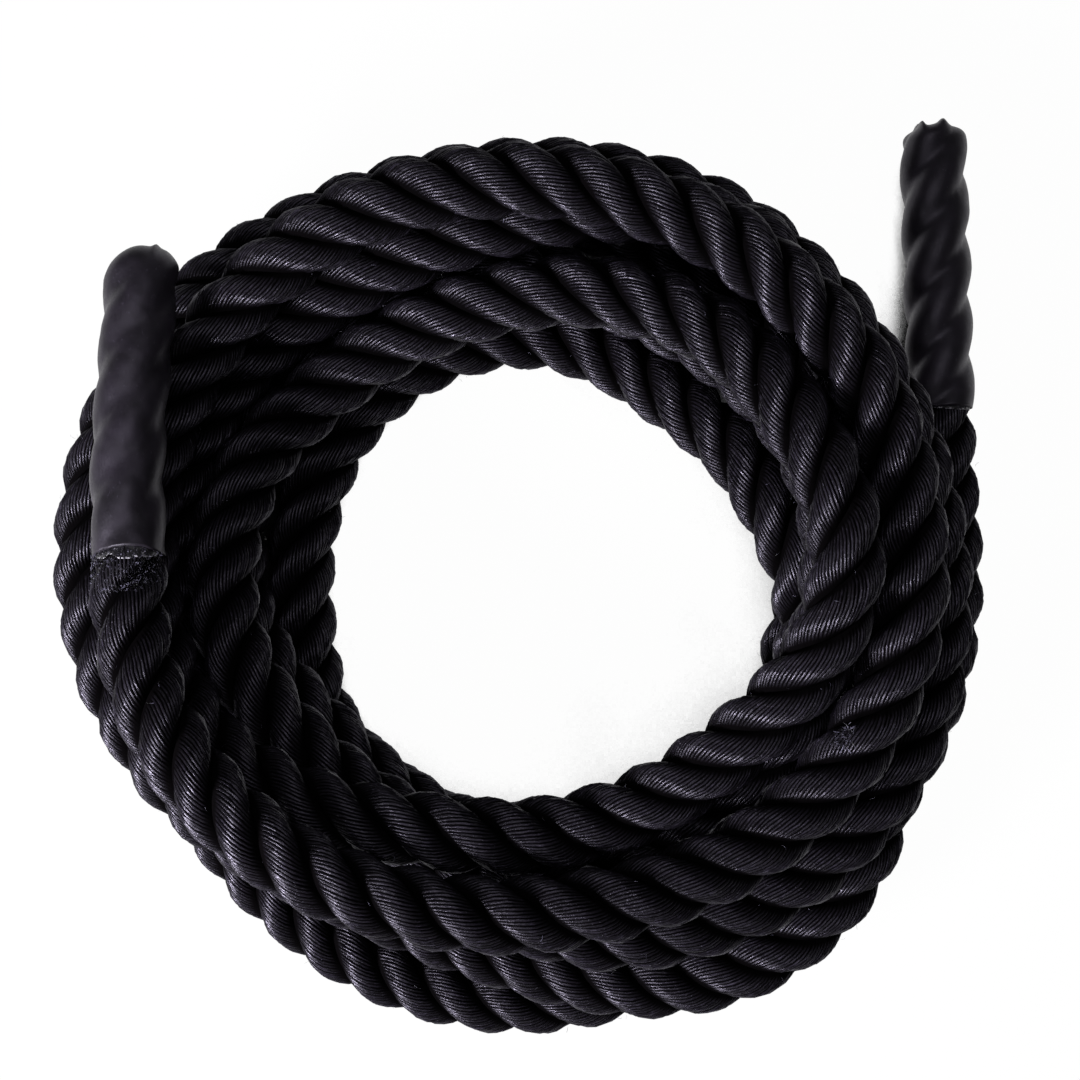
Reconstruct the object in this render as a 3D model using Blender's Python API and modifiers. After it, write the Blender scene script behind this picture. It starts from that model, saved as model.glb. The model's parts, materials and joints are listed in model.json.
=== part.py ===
"""A battle rope lying in a loose round coil: one long rope, and on each end a heat-shrink sleeve over tape and glue.

Metres, +Z up. The coil lies flat on Z = 0, and the origin is under the middle of the whole object.
"""

import math

import bmesh
import bpy
import numpy as np
from mathutils import Matrix, Vector

# The rope: 38 mm, right-hand laid from three strands, squeezed to squeeze_share of its size in a sleeve.
ROPE_DIAMETER = 0.038
STRANDS = 3
squeeze_share = 0.765
SHOULDER_LENGTH = 0.008

# The coil: how far out from its middle the rope lies at each hour of a turn, as shares of COIL_REACH.
# It runs from the sleeve on top, anticlockwise and down to the floor, starting at the nine o'clock side.
COIL_REACH = 0.245
POINTS_AN_HOUR = 2
COIL_PIECES = 181
turn_reach_shares = (
    (0.796, 0.725, 0.665, 0.64, 0.675, 0.75, 0.805, 0.83, 0.855, 0.865, 0.87, 0.85),
    (0.79, 0.68, 0.54, 0.495, 0.507, 0.555, 0.66, 0.70, 0.69, 0.655, 0.635, 0.65),
    (0.64, 0.60, 0.545, 0.66, 0.79, 0.885, 0.905, 0.895, 0.905, 0.82, 0.795, 0.83),
    (0.785, 0.73, 0.70, 0.67, 0.645, 0.64, 0.67, 0.695, 0.69, 0.695, 0.70, 0.675),
    (0.625, 0.54, 0.53, 0.575, 0.58, 0.63, 0.665, 0.59, 0.565, 0.61, 0.595, 0.553),
    (0.512, 0.54, 0.555, 0.60, 0.635, 0.665, 0.675, 0.87, 0.955, 0.92, 0.90, 0.925),
    (0.938, 0.85, 0.775, 0.825, 0.965, 0.94, 0.80, 0.825, 0.855, 0.89, 0.935, 0.965),
    (0.955, 0.875, 0.91, 0.945, 0.935, 0.96, 0.985, 1.047),
)

# The first turn slips down outside the second one: how many turns lower it starts at each hour than its place.
first_turn_sinks = (0, 0.3, 1.1, 1.5, 1.5, 1.5, 1.5, 1.5, 1.5, 1.5, 1.3, 0.7, 0)

# The straight stretch at each end: what shows below the sleeve's mouth, and which way the sleeve points.
TOP_RUN = 0.020
FLOOR_RUN = 0.0385
TOP_HEADING = math.radians(88.6)
FLOOR_HEADING = math.radians(91.6)
RUN_PIECES = 4

# How the coil settles. The clearance between turns is in metres. The lifts, the sinking, the neighbours'
# reach and the flat's depth are shares of the rope's diameter, and the last three are shares of a move.
TURN_CLEARANCE = 0.0012
flat_depth_share = 0.1
SETTLING_ROUNDS = 1000
FALLING_ROUNDS = 520
RESTING_ROUNDS = 900
NEIGHBOUR_ROUNDS = 10
PUSHES_A_ROUND = 4
first_lift_share = 1.1
falling_share = 0.012
resting_share = 0.0024
neighbour_share = 2.6
homing_share = 0.15
springing_share = 0.2
pushing_share = 0.3

# The sleeve: a closed heat-shrink cap, drawn down over the strands so that they stand out in it as three lobes.
SLEEVE_LENGTH = 0.160
SLEEVE_WALL = 0.0012
LOBE_DEPTH = 0.0022
SLEEVED_LAY_LENGTH = 0.101
TOP_MOUTH_LAY = math.radians(-20)
FLOOR_MOUTH_LAY = math.radians(30)
DOME_LENGTH = 0.013
SLEEVE_SIDES = 24
SLEEVE_RINGS = 30
dome_ring_shares = (0.3, 0.55, 0.75, 0.9, 0.98)

# Inside the sleeve: tape round the cut end of the rope, and a ring of hot-melt glue at the mouth.
LINING_THICKNESS = 0.0005
TAPE_WIDTH = 0.040
GLUE_DEPTH = 0.012
LINING_SIDES = 24
SEAT_GAP = 0.0003

squeezed_radius = ROPE_DIAMETER * squeeze_share / 2
lining_radius = squeezed_radius + SEAT_GAP
bore_radius = lining_radius + LINING_THICKNESS + SEAT_GAP
rope_reach_in_sleeve = SLEEVE_LENGTH - SLEEVE_WALL - DOME_LENGTH


def around_flats(radius, sides):
    """The corner radius of a polygon whose flats lie at this radius."""
    return radius / math.cos(math.pi / sides)


sleeve_radius = around_flats(bore_radius, SLEEVE_SIDES) + LOBE_DEPTH + SLEEVE_WALL


def smooth_through(values, at):
    """Reads a natural cubic curve through evenly spaced values at each place in at."""
    bends = np.eye(len(values))
    pulls = np.zeros(len(values))
    for k in range(1, len(values) - 1):
        bends[k, k - 1 : k + 2] = 1, 4, 1
        pulls[k] = 6 * (values[k - 1] - 2 * values[k] + values[k + 1])
    bends = np.linalg.solve(bends, pulls)
    left = np.clip(at.astype(int), 0, len(values) - 2)
    onward = at - left
    back = 1 - onward
    bow = (bends[left] * (back**3 - back) + bends[left + 1] * (onward**3 - onward)) / 6
    return back * values[left] + onward * values[left + 1] + bow


def plan_of_rope():
    """Where the rope lies seen from above, from one cut end of it to the other."""
    shares = np.array([share for turn in turn_reach_shares for share in turn])
    place = np.arange(COIL_PIECES + 1)
    reach = COIL_REACH * smooth_through(shares, place / POINTS_AN_HOUR)
    turned = math.pi + place * math.tau / (POINTS_AN_HOUR * len(turn_reach_shares[0]))
    coil = np.column_stack([reach * np.cos(turned), reach * np.sin(turned)])
    away = np.arange(1, RUN_PIECES + 1)[:, None] / RUN_PIECES
    top_way = np.array([math.cos(TOP_HEADING), math.sin(TOP_HEADING)])
    floor_way = np.array([math.cos(FLOOR_HEADING), math.sin(FLOOR_HEADING)])
    top_run = coil[0] + away * (SLEEVE_LENGTH + TOP_RUN) * top_way
    floor_run = coil[-1] + away * (SLEEVE_LENGTH + FLOOR_RUN) * floor_way
    return np.concatenate([top_run[::-1], coil, floor_run])


def closest(points, first, second):
    """For pairs of straight pieces of the rope: how far along each they come closest, and the way between."""
    run_a = points[first + 1] - points[first]
    run_b = points[second + 1] - points[second]
    between = points[first] - points[second]
    aa, bb, ab = (run_a * run_a).sum(1), (run_b * run_b).sum(1), (run_a * run_b).sum(1)
    ac, bc = (run_a * between).sum(1), (run_b * between).sum(1)
    unlike = np.maximum(aa * bb - ab * ab, np.finfo(float).eps * aa * bb)
    on_a = np.clip((ab * bc - ac * bb) / unlike, 0, 1)
    on_b = np.clip((ab * on_a + bc) / bb, 0, 1)
    on_a = np.clip((ab * on_b - ac) / aa, 0, 1)
    return on_a, on_b, between + run_a * on_a[:, None] - run_b * on_b[:, None]


def push_apart(points, first, second, room):
    """Moves apart the pieces that lie closer than room, each at the place where they meet."""
    on_a, on_b, way = closest(points, first, second)
    apart = np.linalg.norm(way, axis=1)
    near = apart < room
    push = way[near] * ((room[near] / apart[near] - 1) * pushing_share)[:, None]
    for piece, along, side in ((first[near], on_a[near], 1), (second[near], on_b[near], -1)):
        np.add.at(points, piece, side * push * (1 - along)[:, None])
        np.add.at(points, piece + 1, side * push * along[:, None])


def straighten_ends(points):
    """Each sleeve holds its stretch of the rope straight, at its own length."""
    for end, below in ((points[: RUN_PIECES + 1], TOP_RUN), (points[-RUN_PIECES - 1 :], FLOOR_RUN)):
        step = (SLEEVE_LENGTH + below) / RUN_PIECES
        place = (np.arange(RUN_PIECES + 1) - RUN_PIECES / 2)[:, None]
        slope = (place * end).sum(0)
        end[:] = end.mean(0) + place * slope * step / np.linalg.norm(slope)


def settled_rope():
    """The rope's middle line: laid down turn on turn, then let sink until it lies on itself and the floor."""
    plan = plan_of_rope()
    count = len(plan)
    in_sleeve = np.zeros(count, bool)
    in_sleeve[: RUN_PIECES + 1] = in_sleeve[-RUN_PIECES - 1 :] = True
    radius = np.where(in_sleeve, max(sleeve_radius, ROPE_DIAMETER / 2), ROPE_DIAMETER / 2)
    floor = np.where(in_sleeve, radius + SEAT_GAP, ROPE_DIAMETER * (1 / 2 - flat_depth_share))
    points_a_turn = POINTS_AN_HOUR * len(turn_reach_shares[0])
    turns_below = np.clip(count - 1 - RUN_PIECES - np.arange(count), 0, COIL_PIECES) / points_a_turn
    hours_on = np.clip(np.arange(count) - RUN_PIECES, 0, None) / POINTS_AN_HOUR
    turns_below -= np.interp(hours_on, np.arange(len(first_turn_sinks)), first_turn_sinks)
    points = np.column_stack([plan, floor + turns_below * ROPE_DIAMETER * first_lift_share])
    bow = np.zeros_like(points)
    bow[1:-1, :2] = (plan[:-2] + plan[2:]) / 2 - plan[1:-1]
    bow[in_sleeve] = 0
    near_by = ROPE_DIAMETER * neighbour_share
    for settling in range(SETTLING_ROUNDS):
        if settling % NEIGHBOUR_ROUNDS == 0:
            middles = (points[1:] + points[:-1]) / 2
            apart = np.linalg.norm(middles[:, None] - middles[None], axis=2)
            first, second = np.where(apart < near_by)
            other_turn = second - first > RUN_PIECES
            first, second = first[other_turn], second[other_turn]
            room = radius[first] + radius[second + 1] + TURN_CLEARANCE
        if settling < RESTING_ROUNDS:
            sinking = falling_share if settling < FALLING_ROUNDS else resting_share
            points[:, 2] -= sinking * ROPE_DIAMETER
            points[:, :2] += homing_share * (plan - points[:, :2])
            spring = springing_share * ((points[:-2] + points[2:]) / 2 - points[1:-1] - bow[1:-1])
            points[1:-1] += spring
            points[:-2] -= spring / 2
            points[2:] -= spring / 2
        for _ in range(PUSHES_A_ROUND):
            push_apart(points, first, second, room)
            straighten_ends(points)
            points[:, 2] = np.maximum(points[:, 2], floor)
    return points


def print_measures(points):
    """Prints the rope's length and the least gap between two stretches of it that lie side by side."""
    first, second = np.triu_indices(len(points) - 1, RUN_PIECES)
    apart = np.linalg.norm(closest(points, first, second)[2], axis=1)
    length = np.linalg.norm(np.diff(points, axis=0), axis=1).sum()
    print(f"least gap of the rope to itself: {apart.min() - ROPE_DIAMETER:.4f} m")
    print(f"rope: {length:.2f} m long, {points[:, 2].max() + ROPE_DIAMETER / 2:.3f} m high")


def make_material(name, colour, roughness, metallic=0.0):
    material = bpy.data.materials.new(name)
    material.use_nodes = True
    shader = material.node_tree.nodes["Principled BSDF"]
    shader.inputs["Base Color"].default_value = (*colour, 1)
    shader.inputs["Roughness"].default_value = roughness
    shader.inputs["Metallic"].default_value = metallic
    return material


def add_object(name, mesh, material, collection):
    piece = bpy.data.objects.new(name, mesh)
    mesh.materials.append(material)
    collection.objects.link(piece)
    return piece


def make_rope(points, material, collection, cutters):
    """One unbroken tube, squeezed where the sleeves hold it, and flat where it lies on the floor."""
    full, thin = ROPE_DIAMETER / 2, squeezed_radius
    route = [(point, full) for point in points[RUN_PIECES : len(points) - RUN_PIECES]]
    for end, below in ((points[: RUN_PIECES + 1][::-1], TOP_RUN), (points[-RUN_PIECES - 1 :], FLOOR_RUN)):
        way = (end[-1] - end[0]) / (SLEEVE_LENGTH + below)
        stretch = [
            (end[0] + way * (below - SEAT_GAP - SHOULDER_LENGTH), full),
            (end[0] + way * (below - SEAT_GAP), thin),
            (end[0] + way * (below + rope_reach_in_sleeve), thin),
        ]
        route = stretch[::-1] + route if below == TOP_RUN else route + stretch
    curve = bpy.data.curves.new("rope", "CURVE")
    curve.dimensions = "3D"
    curve.twist_mode = "Z_UP"
    curve.bevel_depth = 1
    curve.bevel_resolution = 1
    curve.use_fill_caps = True
    line = curve.splines.new("POLY")
    line.points.add(len(route) - 1)
    for place, (point, radius) in zip(line.points, route):
        place.co = (*point, 1)
        place.radius = radius
    tube = bpy.data.objects.new("rope_tube", curve)
    collection.objects.link(tube)
    evaluated = tube.evaluated_get(bpy.context.evaluated_depsgraph_get())
    mesh = bpy.data.meshes.new_from_object(evaluated)
    bpy.data.objects.remove(tube)
    shape = bmesh.new()
    shape.from_mesh(mesh)
    bmesh.ops.remove_doubles(shape, verts=shape.verts, dist=SEAT_GAP / 2)
    bmesh.ops.recalc_face_normals(shape, faces=shape.faces)
    shape.to_mesh(mesh)
    shape.free()
    mesh.materials.clear()
    mesh.shade_smooth()
    rope = add_object("rope", mesh, material, collection)

    bpy.ops.mesh.primitive_cube_add(size=1, location=(0, 0, -ROPE_DIAMETER / 2))
    floor = bpy.context.object
    floor.name = "floor_cutter"
    span = 2 * np.abs(points).max() + 2 * ROPE_DIAMETER
    floor.scale = (span, span, ROPE_DIAMETER)
    move_to(floor, cutters)
    cut = rope.modifiers.new("flat_underside", "BOOLEAN")
    cut.operation = "DIFFERENCE"
    cut.object = floor
    return rope


def move_to(helper, cutters):
    for collection in helper.users_collection:
        collection.objects.unlink(helper)
    cutters.objects.link(helper)
    helper.hide_render = True
    helper.display_type = "WIRE"


def sleeve_rings():
    """How far each ring of the sleeve's bore lies from the mouth, and its size against the bore's."""
    rings = [(rope_reach_in_sleeve * k / SLEEVE_RINGS, 1) for k in range(SLEEVE_RINGS + 1)]
    for share in dome_ring_shares:
        rings.append((rope_reach_in_sleeve + DOME_LENGTH * share, math.sqrt(1 - share * share)))
    return rings


def make_sleeve(name, lay_angle, material, collection):
    """The cap's bore as an open surface along +Z from its mouth, lobed by the strands, then given its wall."""
    shape = bmesh.new()
    loops = []
    bore = around_flats(bore_radius, SLEEVE_SIDES)
    for height, size in sleeve_rings():
        lobe_angle = lay_angle + math.tau * height / SLEEVED_LAY_LENGTH
        loop = []
        for k in range(SLEEVE_SIDES):
            angle = math.tau * k / SLEEVE_SIDES
            lobe = LOBE_DEPTH * (1 + math.cos(STRANDS * (angle - lobe_angle))) / 2
            reach = (bore + lobe) * size
            loop.append(shape.verts.new((reach * math.cos(angle), reach * math.sin(angle), height)))
        loops.append(loop)
    for low, high in zip(loops, loops[1:]):
        for k in range(SLEEVE_SIDES):
            after = (k + 1) % SLEEVE_SIDES
            shape.faces.new((low[k], low[after], high[after], high[k]))
    tip = shape.verts.new((0, 0, rope_reach_in_sleeve + DOME_LENGTH))
    for k in range(SLEEVE_SIDES):
        shape.faces.new((loops[-1][k], loops[-1][(k + 1) % SLEEVE_SIDES], tip))
    mesh = bpy.data.meshes.new(name)
    shape.to_mesh(mesh)
    shape.free()
    mesh.shade_smooth()
    sleeve = add_object(name, mesh, material, collection)
    wall = sleeve.modifiers.new("wall", "SOLIDIFY")
    wall.thickness = SLEEVE_WALL
    wall.offset = 1
    return sleeve


def turned_ring(name, profile, material, collection):
    """A profile of (radius, height) corners that runs down its outer side, turned about Z."""
    mesh = bpy.data.meshes.new(name)
    corners = [(radius, 0, height) for radius, height in profile]
    edges = [(k, (k + 1) % len(corners)) for k in range(len(corners))]
    mesh.from_pydata(corners, edges, [])
    ring = add_object(name, mesh, material, collection)
    turn = ring.modifiers.new("turned", "SCREW")
    turn.steps = turn.render_steps = LINING_SIDES
    return ring


def make_tape(name, material, collection):
    inner = around_flats(lining_radius, LINING_SIDES)
    outer = lining_radius + LINING_THICKNESS
    low, high = rope_reach_in_sleeve - TAPE_WIDTH, rope_reach_in_sleeve
    return turned_ring(name, [(inner, high), (outer, high), (outer, low), (inner, low)], material, collection)


def make_glue(name, material, collection):
    """A thin lining inside the mouth, with a bead outside it that fills the notch above the rope's shoulder."""
    inner = around_flats(lining_radius, LINING_SIDES)
    outer = lining_radius + LINING_THICKNESS
    bead = bore_radius + SLEEVE_WALL
    slope = SHOULDER_LENGTH / (ROPE_DIAMETER / 2 - squeezed_radius)
    foot = SEAT_GAP + slope * (bead - inner)
    profile = [
        (inner, GLUE_DEPTH),
        (outer, GLUE_DEPTH),
        (outer, -SEAT_GAP),
        (bead, -SEAT_GAP),
        (bead, -foot),
        (inner, -SEAT_GAP),
    ]
    return turned_ring(name, profile, material, collection)


def place_at_end(piece, mouth, tip, coil_middle):
    """Puts a piece that was made along +Z on the sleeve's line, with its own X axis as near to up as it goes."""
    along = Vector(tip - mouth).normalized()
    up = (Vector((0, 0, 1)) - along * along.z).normalized()
    turn = Matrix((up, along.cross(up), along)).transposed()
    piece.rotation_euler = turn.to_euler()
    piece.location = mouth
    piece.parent = coil_middle


def main():
    for thing in list(bpy.data.objects):
        bpy.data.objects.remove(thing)
    collection = bpy.data.collections.new("battle_rope")
    cutters = bpy.data.collections.new("cutters")
    bpy.context.scene.collection.children.link(collection)
    bpy.context.scene.collection.children.link(cutters)
    rope_black = make_material("rope_black", (0.012, 0.012, 0.013), 0.7)
    sleeve_black = make_material("sleeve_charcoal", (0.028, 0.028, 0.031), 0.4)
    tape_grey = make_material("tape_grey", (0.09, 0.09, 0.095), 0.6)
    glue_clear = make_material("glue_milky", (0.55, 0.53, 0.48), 0.35)

    points = settled_rope()
    print_measures(points)
    coil_middle = bpy.data.objects.new("coil_middle", None)
    collection.objects.link(coil_middle)
    rope = make_rope(points, rope_black, collection, cutters)
    rope.parent = coil_middle
    ends = (
        ("top", points[0], points[RUN_PIECES], TOP_RUN, TOP_MOUTH_LAY),
        ("floor", points[-1], points[-RUN_PIECES - 1], FLOOR_RUN, FLOOR_MOUTH_LAY),
    )
    for end, tip, station, below, lay_angle in ends:
        mouth = station + (tip - station) * below / (SLEEVE_LENGTH + below)
        pieces = (
            make_sleeve(f"{end}_end_sleeve", lay_angle, sleeve_black, collection),
            make_tape(f"{end}_end_tape", tape_grey, collection),
            make_glue(f"{end}_end_glue_ring", glue_clear, collection),
        )
        for piece in pieces:
            place_at_end(piece, mouth, tip, coil_middle)

    bpy.context.view_layer.update()
    graph = bpy.context.evaluated_depsgraph_get()
    corners = []
    for piece in collection.objects:
        if piece.type == "MESH":
            seen = piece.evaluated_get(graph)
            corners += [seen.matrix_world @ vertex.co for vertex in seen.data.vertices]
    low, high = np.min(corners, axis=0), np.max(corners, axis=0)
    coil_middle.location = (-(low[0] + high[0]) / 2, -(low[1] + high[1]) / 2, 0)
    print(f"size: {high - low} m, coil's middle at {tuple(coil_middle.location)}")


main()
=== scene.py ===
import json
import math

import bmesh
import bpy
import numpy as np
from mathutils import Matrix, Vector


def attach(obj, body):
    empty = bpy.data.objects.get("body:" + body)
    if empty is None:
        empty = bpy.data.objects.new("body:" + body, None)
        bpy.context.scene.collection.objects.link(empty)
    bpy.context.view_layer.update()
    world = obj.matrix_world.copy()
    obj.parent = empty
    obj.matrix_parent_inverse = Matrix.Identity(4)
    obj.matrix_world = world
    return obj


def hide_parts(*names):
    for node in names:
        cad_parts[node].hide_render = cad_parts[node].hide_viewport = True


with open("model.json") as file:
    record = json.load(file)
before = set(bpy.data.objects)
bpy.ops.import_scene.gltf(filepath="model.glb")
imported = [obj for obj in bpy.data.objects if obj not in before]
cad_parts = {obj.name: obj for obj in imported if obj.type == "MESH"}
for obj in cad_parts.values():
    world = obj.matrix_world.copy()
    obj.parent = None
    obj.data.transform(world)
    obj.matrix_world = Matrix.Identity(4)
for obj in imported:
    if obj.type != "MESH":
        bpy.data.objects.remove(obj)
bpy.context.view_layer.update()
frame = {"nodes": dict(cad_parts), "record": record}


# The camera looks straight down at the coil from about a metre, with +Y up in its picture.
# Its distance comes from how much wider the sleeve on top of the coil looks than the one on the floor.
CAMERA_HEIGHT = 1.077
CAMERA_X, CAMERA_Y = 0.0078, 0.0225
SENSOR_WIDTH_MM = 36
LENS_MM = 62.5

camera_data = bpy.data.cameras.new("camera_above_coil")
camera_data.sensor_width = SENSOR_WIDTH_MM
camera_data.lens = LENS_MM
camera = bpy.data.objects.new("camera_above_coil", camera_data)
camera.location = (CAMERA_X, CAMERA_Y, CAMERA_HEIGHT)
bpy.context.scene.collection.objects.link(camera)
bpy.context.scene.camera = camera


# The rope's middle line: 9.1 m of rope in seven and a half loose turns, each lying on those below it.
# It is laid down in plan and sinks until it rests on itself and the floor. A sleeve holds each end straight.
ROPE_DIAMETER = 0.038
SLEEVE_LENGTH = 0.160
SLEEVE_RADIUS = 0.01917
FLOOR_GAP = 0.0003
TURN_CLEARANCE = 0.0012
COIL_REACH = 0.245
POINTS_AN_HOUR = 2
COIL_PIECES = 181
RUN_PIECES = 4
TOP_RUN = 0.020
FLOOR_RUN = 0.0385
TOP_HEADING = math.radians(88.6)
FLOOR_HEADING = math.radians(91.6)
flat_depth_share = 0.1

# How the coil settles: the rounds of sinking and of pushing turns apart, and how far each moves the rope.
SETTLING_ROUNDS = 1000
FALLING_ROUNDS = 520
RESTING_ROUNDS = 900
NEIGHBOUR_ROUNDS = 10
PUSHES_A_ROUND = 4
first_lift_share = 1.1
falling_share = 0.012
resting_share = 0.0024
neighbour_share = 2.6
homing_share = 0.15
springing_share = 0.2
pushing_share = 0.3
LINE_POINTS_A_PIECE = 10

# How far out from its middle the coil lies at each hour of a turn, as shares of COIL_REACH. It starts with
# the sleeve on top, at the nine o'clock side, and runs anticlockwise and down to the floor.
turn_reach_shares = (
    (0.796, 0.725, 0.665, 0.64, 0.675, 0.75, 0.805, 0.83, 0.855, 0.865, 0.87, 0.85),
    (0.79, 0.68, 0.54, 0.495, 0.507, 0.555, 0.66, 0.70, 0.69, 0.655, 0.635, 0.65),
    (0.64, 0.60, 0.545, 0.66, 0.79, 0.885, 0.905, 0.895, 0.905, 0.82, 0.795, 0.83),
    (0.785, 0.73, 0.70, 0.67, 0.645, 0.64, 0.67, 0.695, 0.69, 0.695, 0.70, 0.675),
    (0.625, 0.54, 0.53, 0.575, 0.58, 0.63, 0.665, 0.59, 0.565, 0.61, 0.595, 0.553),
    (0.512, 0.54, 0.555, 0.60, 0.635, 0.665, 0.675, 0.87, 0.955, 0.92, 0.90, 0.925),
    (0.938, 0.85, 0.775, 0.825, 0.965, 0.94, 0.80, 0.825, 0.855, 0.89, 0.935, 0.965),
    (0.955, 0.875, 0.91, 0.945, 0.935, 0.96, 0.985, 1.047),
)

# The first turn slips down outside the second one: how many turns lower it starts at each hour of its way.
first_turn_sinks = (0, 0.3, 1.1, 1.5, 1.5, 1.5, 1.5, 1.5, 1.5, 1.5, 1.3, 0.7, 0)


def smooth_through(values, at):
    """Reads a natural cubic curve through evenly spaced values at each place in at."""
    bends = np.eye(len(values))
    pulls = np.zeros_like(values)
    for k in range(1, len(values) - 1):
        bends[k, k - 1 : k + 2] = 1, 4, 1
        pulls[k] = 6 * (values[k - 1] - 2 * values[k] + values[k + 1])
    bends = np.linalg.solve(bends, pulls)
    left = np.clip(at.astype(int), 0, len(values) - 2)
    onward = (at - left).reshape([-1] + [1] * (values.ndim - 1))
    back = 1 - onward
    bow = (bends[left] * (back**3 - back) + bends[left + 1] * (onward**3 - onward)) / 6
    return back * values[left] + onward * values[left + 1] + bow


def plan_of_rope():
    """Where the rope lies seen from above, from one cut end of it to the other."""
    shares = np.array([share for turn in turn_reach_shares for share in turn])
    place = np.arange(COIL_PIECES + 1)
    reach = COIL_REACH * smooth_through(shares, place / POINTS_AN_HOUR)
    turned = math.pi + place * math.tau / (POINTS_AN_HOUR * len(turn_reach_shares[0]))
    coil = np.column_stack([reach * np.cos(turned), reach * np.sin(turned)])
    away = np.arange(1, RUN_PIECES + 1)[:, None] / RUN_PIECES
    top_way = np.array([math.cos(TOP_HEADING), math.sin(TOP_HEADING)])
    floor_way = np.array([math.cos(FLOOR_HEADING), math.sin(FLOOR_HEADING)])
    top_run = coil[0] + away * (SLEEVE_LENGTH + TOP_RUN) * top_way
    floor_run = coil[-1] + away * (SLEEVE_LENGTH + FLOOR_RUN) * floor_way
    return np.concatenate([top_run[::-1], coil, floor_run])


def closest(points, first, second):
    """For pairs of straight pieces of the rope: how far along each they are closest, and the way between."""
    run_a = points[first + 1] - points[first]
    run_b = points[second + 1] - points[second]
    between = points[first] - points[second]
    aa, bb, ab = (run_a * run_a).sum(1), (run_b * run_b).sum(1), (run_a * run_b).sum(1)
    ac, bc = (run_a * between).sum(1), (run_b * between).sum(1)
    unlike = np.maximum(aa * bb - ab * ab, np.finfo(float).eps * aa * bb)
    on_a = np.clip((ab * bc - ac * bb) / unlike, 0, 1)
    on_b = np.clip((ab * on_a + bc) / bb, 0, 1)
    on_a = np.clip((ab * on_b - ac) / aa, 0, 1)
    return on_a, on_b, between + run_a * on_a[:, None] - run_b * on_b[:, None]


def push_apart(points, first, second, room):
    """Moves apart the pieces that lie closer than room, each at the place where they meet."""
    on_a, on_b, way = closest(points, first, second)
    apart = np.linalg.norm(way, axis=1)
    near = apart < room
    push = way[near] * ((room[near] / apart[near] - 1) * pushing_share)[:, None]
    for piece, along, side in ((first[near], on_a[near], 1), (second[near], on_b[near], -1)):
        np.add.at(points, piece, side * push * (1 - along)[:, None])
        np.add.at(points, piece + 1, side * push * along[:, None])


def straighten_ends(points):
    """Each sleeve holds its stretch of the rope straight, at its own length."""
    for end, below in ((points[: RUN_PIECES + 1], TOP_RUN), (points[-RUN_PIECES - 1 :], FLOOR_RUN)):
        step = (SLEEVE_LENGTH + below) / RUN_PIECES
        place = (np.arange(RUN_PIECES + 1) - RUN_PIECES / 2)[:, None]
        slope = (place * end).sum(0)
        end[:] = end.mean(0) + place * slope * step / np.linalg.norm(slope)


def settled_rope():
    """The rope's middle line: laid turn on turn, then let sink until it lies on itself and the floor."""
    plan = plan_of_rope()
    count = len(plan)
    in_sleeve = np.zeros(count, bool)
    in_sleeve[: RUN_PIECES + 1] = in_sleeve[-RUN_PIECES - 1 :] = True
    radius = np.where(in_sleeve, SLEEVE_RADIUS, ROPE_DIAMETER / 2)
    floor = np.where(in_sleeve, radius + FLOOR_GAP, ROPE_DIAMETER * (1 / 2 - flat_depth_share))
    points_a_turn = POINTS_AN_HOUR * len(turn_reach_shares[0])
    turns_below = np.clip(count - 1 - RUN_PIECES - np.arange(count), 0, COIL_PIECES) / points_a_turn
    hours_on = np.clip(np.arange(count) - RUN_PIECES, 0, None) / POINTS_AN_HOUR
    turns_below -= np.interp(hours_on, np.arange(len(first_turn_sinks)), first_turn_sinks)
    points = np.column_stack([plan, floor + turns_below * ROPE_DIAMETER * first_lift_share])
    bow = np.zeros_like(points)
    bow[1:-1, :2] = (plan[:-2] + plan[2:]) / 2 - plan[1:-1]
    bow[in_sleeve] = 0
    near_by = ROPE_DIAMETER * neighbour_share
    for settling in range(SETTLING_ROUNDS):
        if settling % NEIGHBOUR_ROUNDS == 0:
            middles = (points[1:] + points[:-1]) / 2
            apart = np.linalg.norm(middles[:, None] - middles[None], axis=2)
            first, second = np.where(apart < near_by)
            other_turn = second - first > RUN_PIECES
            first, second = first[other_turn], second[other_turn]
            room = radius[first] + radius[second + 1] + TURN_CLEARANCE
        if settling < RESTING_ROUNDS:
            sinking = falling_share if settling < FALLING_ROUNDS else resting_share
            points[:, 2] -= sinking * ROPE_DIAMETER
            points[:, :2] += homing_share * (plan - points[:, :2])
            spring = springing_share * ((points[:-2] + points[2:]) / 2 - points[1:-1] - bow[1:-1])
            points[1:-1] += spring
            points[:-2] -= spring / 2
            points[2:] -= spring / 2
        for _ in range(PUSHES_A_ROUND):
            push_apart(points, first, second, room)
            straighten_ends(points)
            points[:, 2] = np.maximum(points[:, 2], floor)
    return points


# The rest face is under this point of the route, so its place in the frame's record carries the route there.
REST_POINT = 178
route = settled_rope()
rest_face = next(mount for mount in frame["record"]["mounts"] if mount["name"] == "rest_face")
route[:, :2] += np.array(rest_face["pos_m"][:2]) - route[REST_POINT, :2]
fine_places = np.linspace(0, len(route) - 1, (len(route) - 1) * LINE_POINTS_A_PIECE + 1)
rope_line = smooth_through(route, fine_places)

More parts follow.
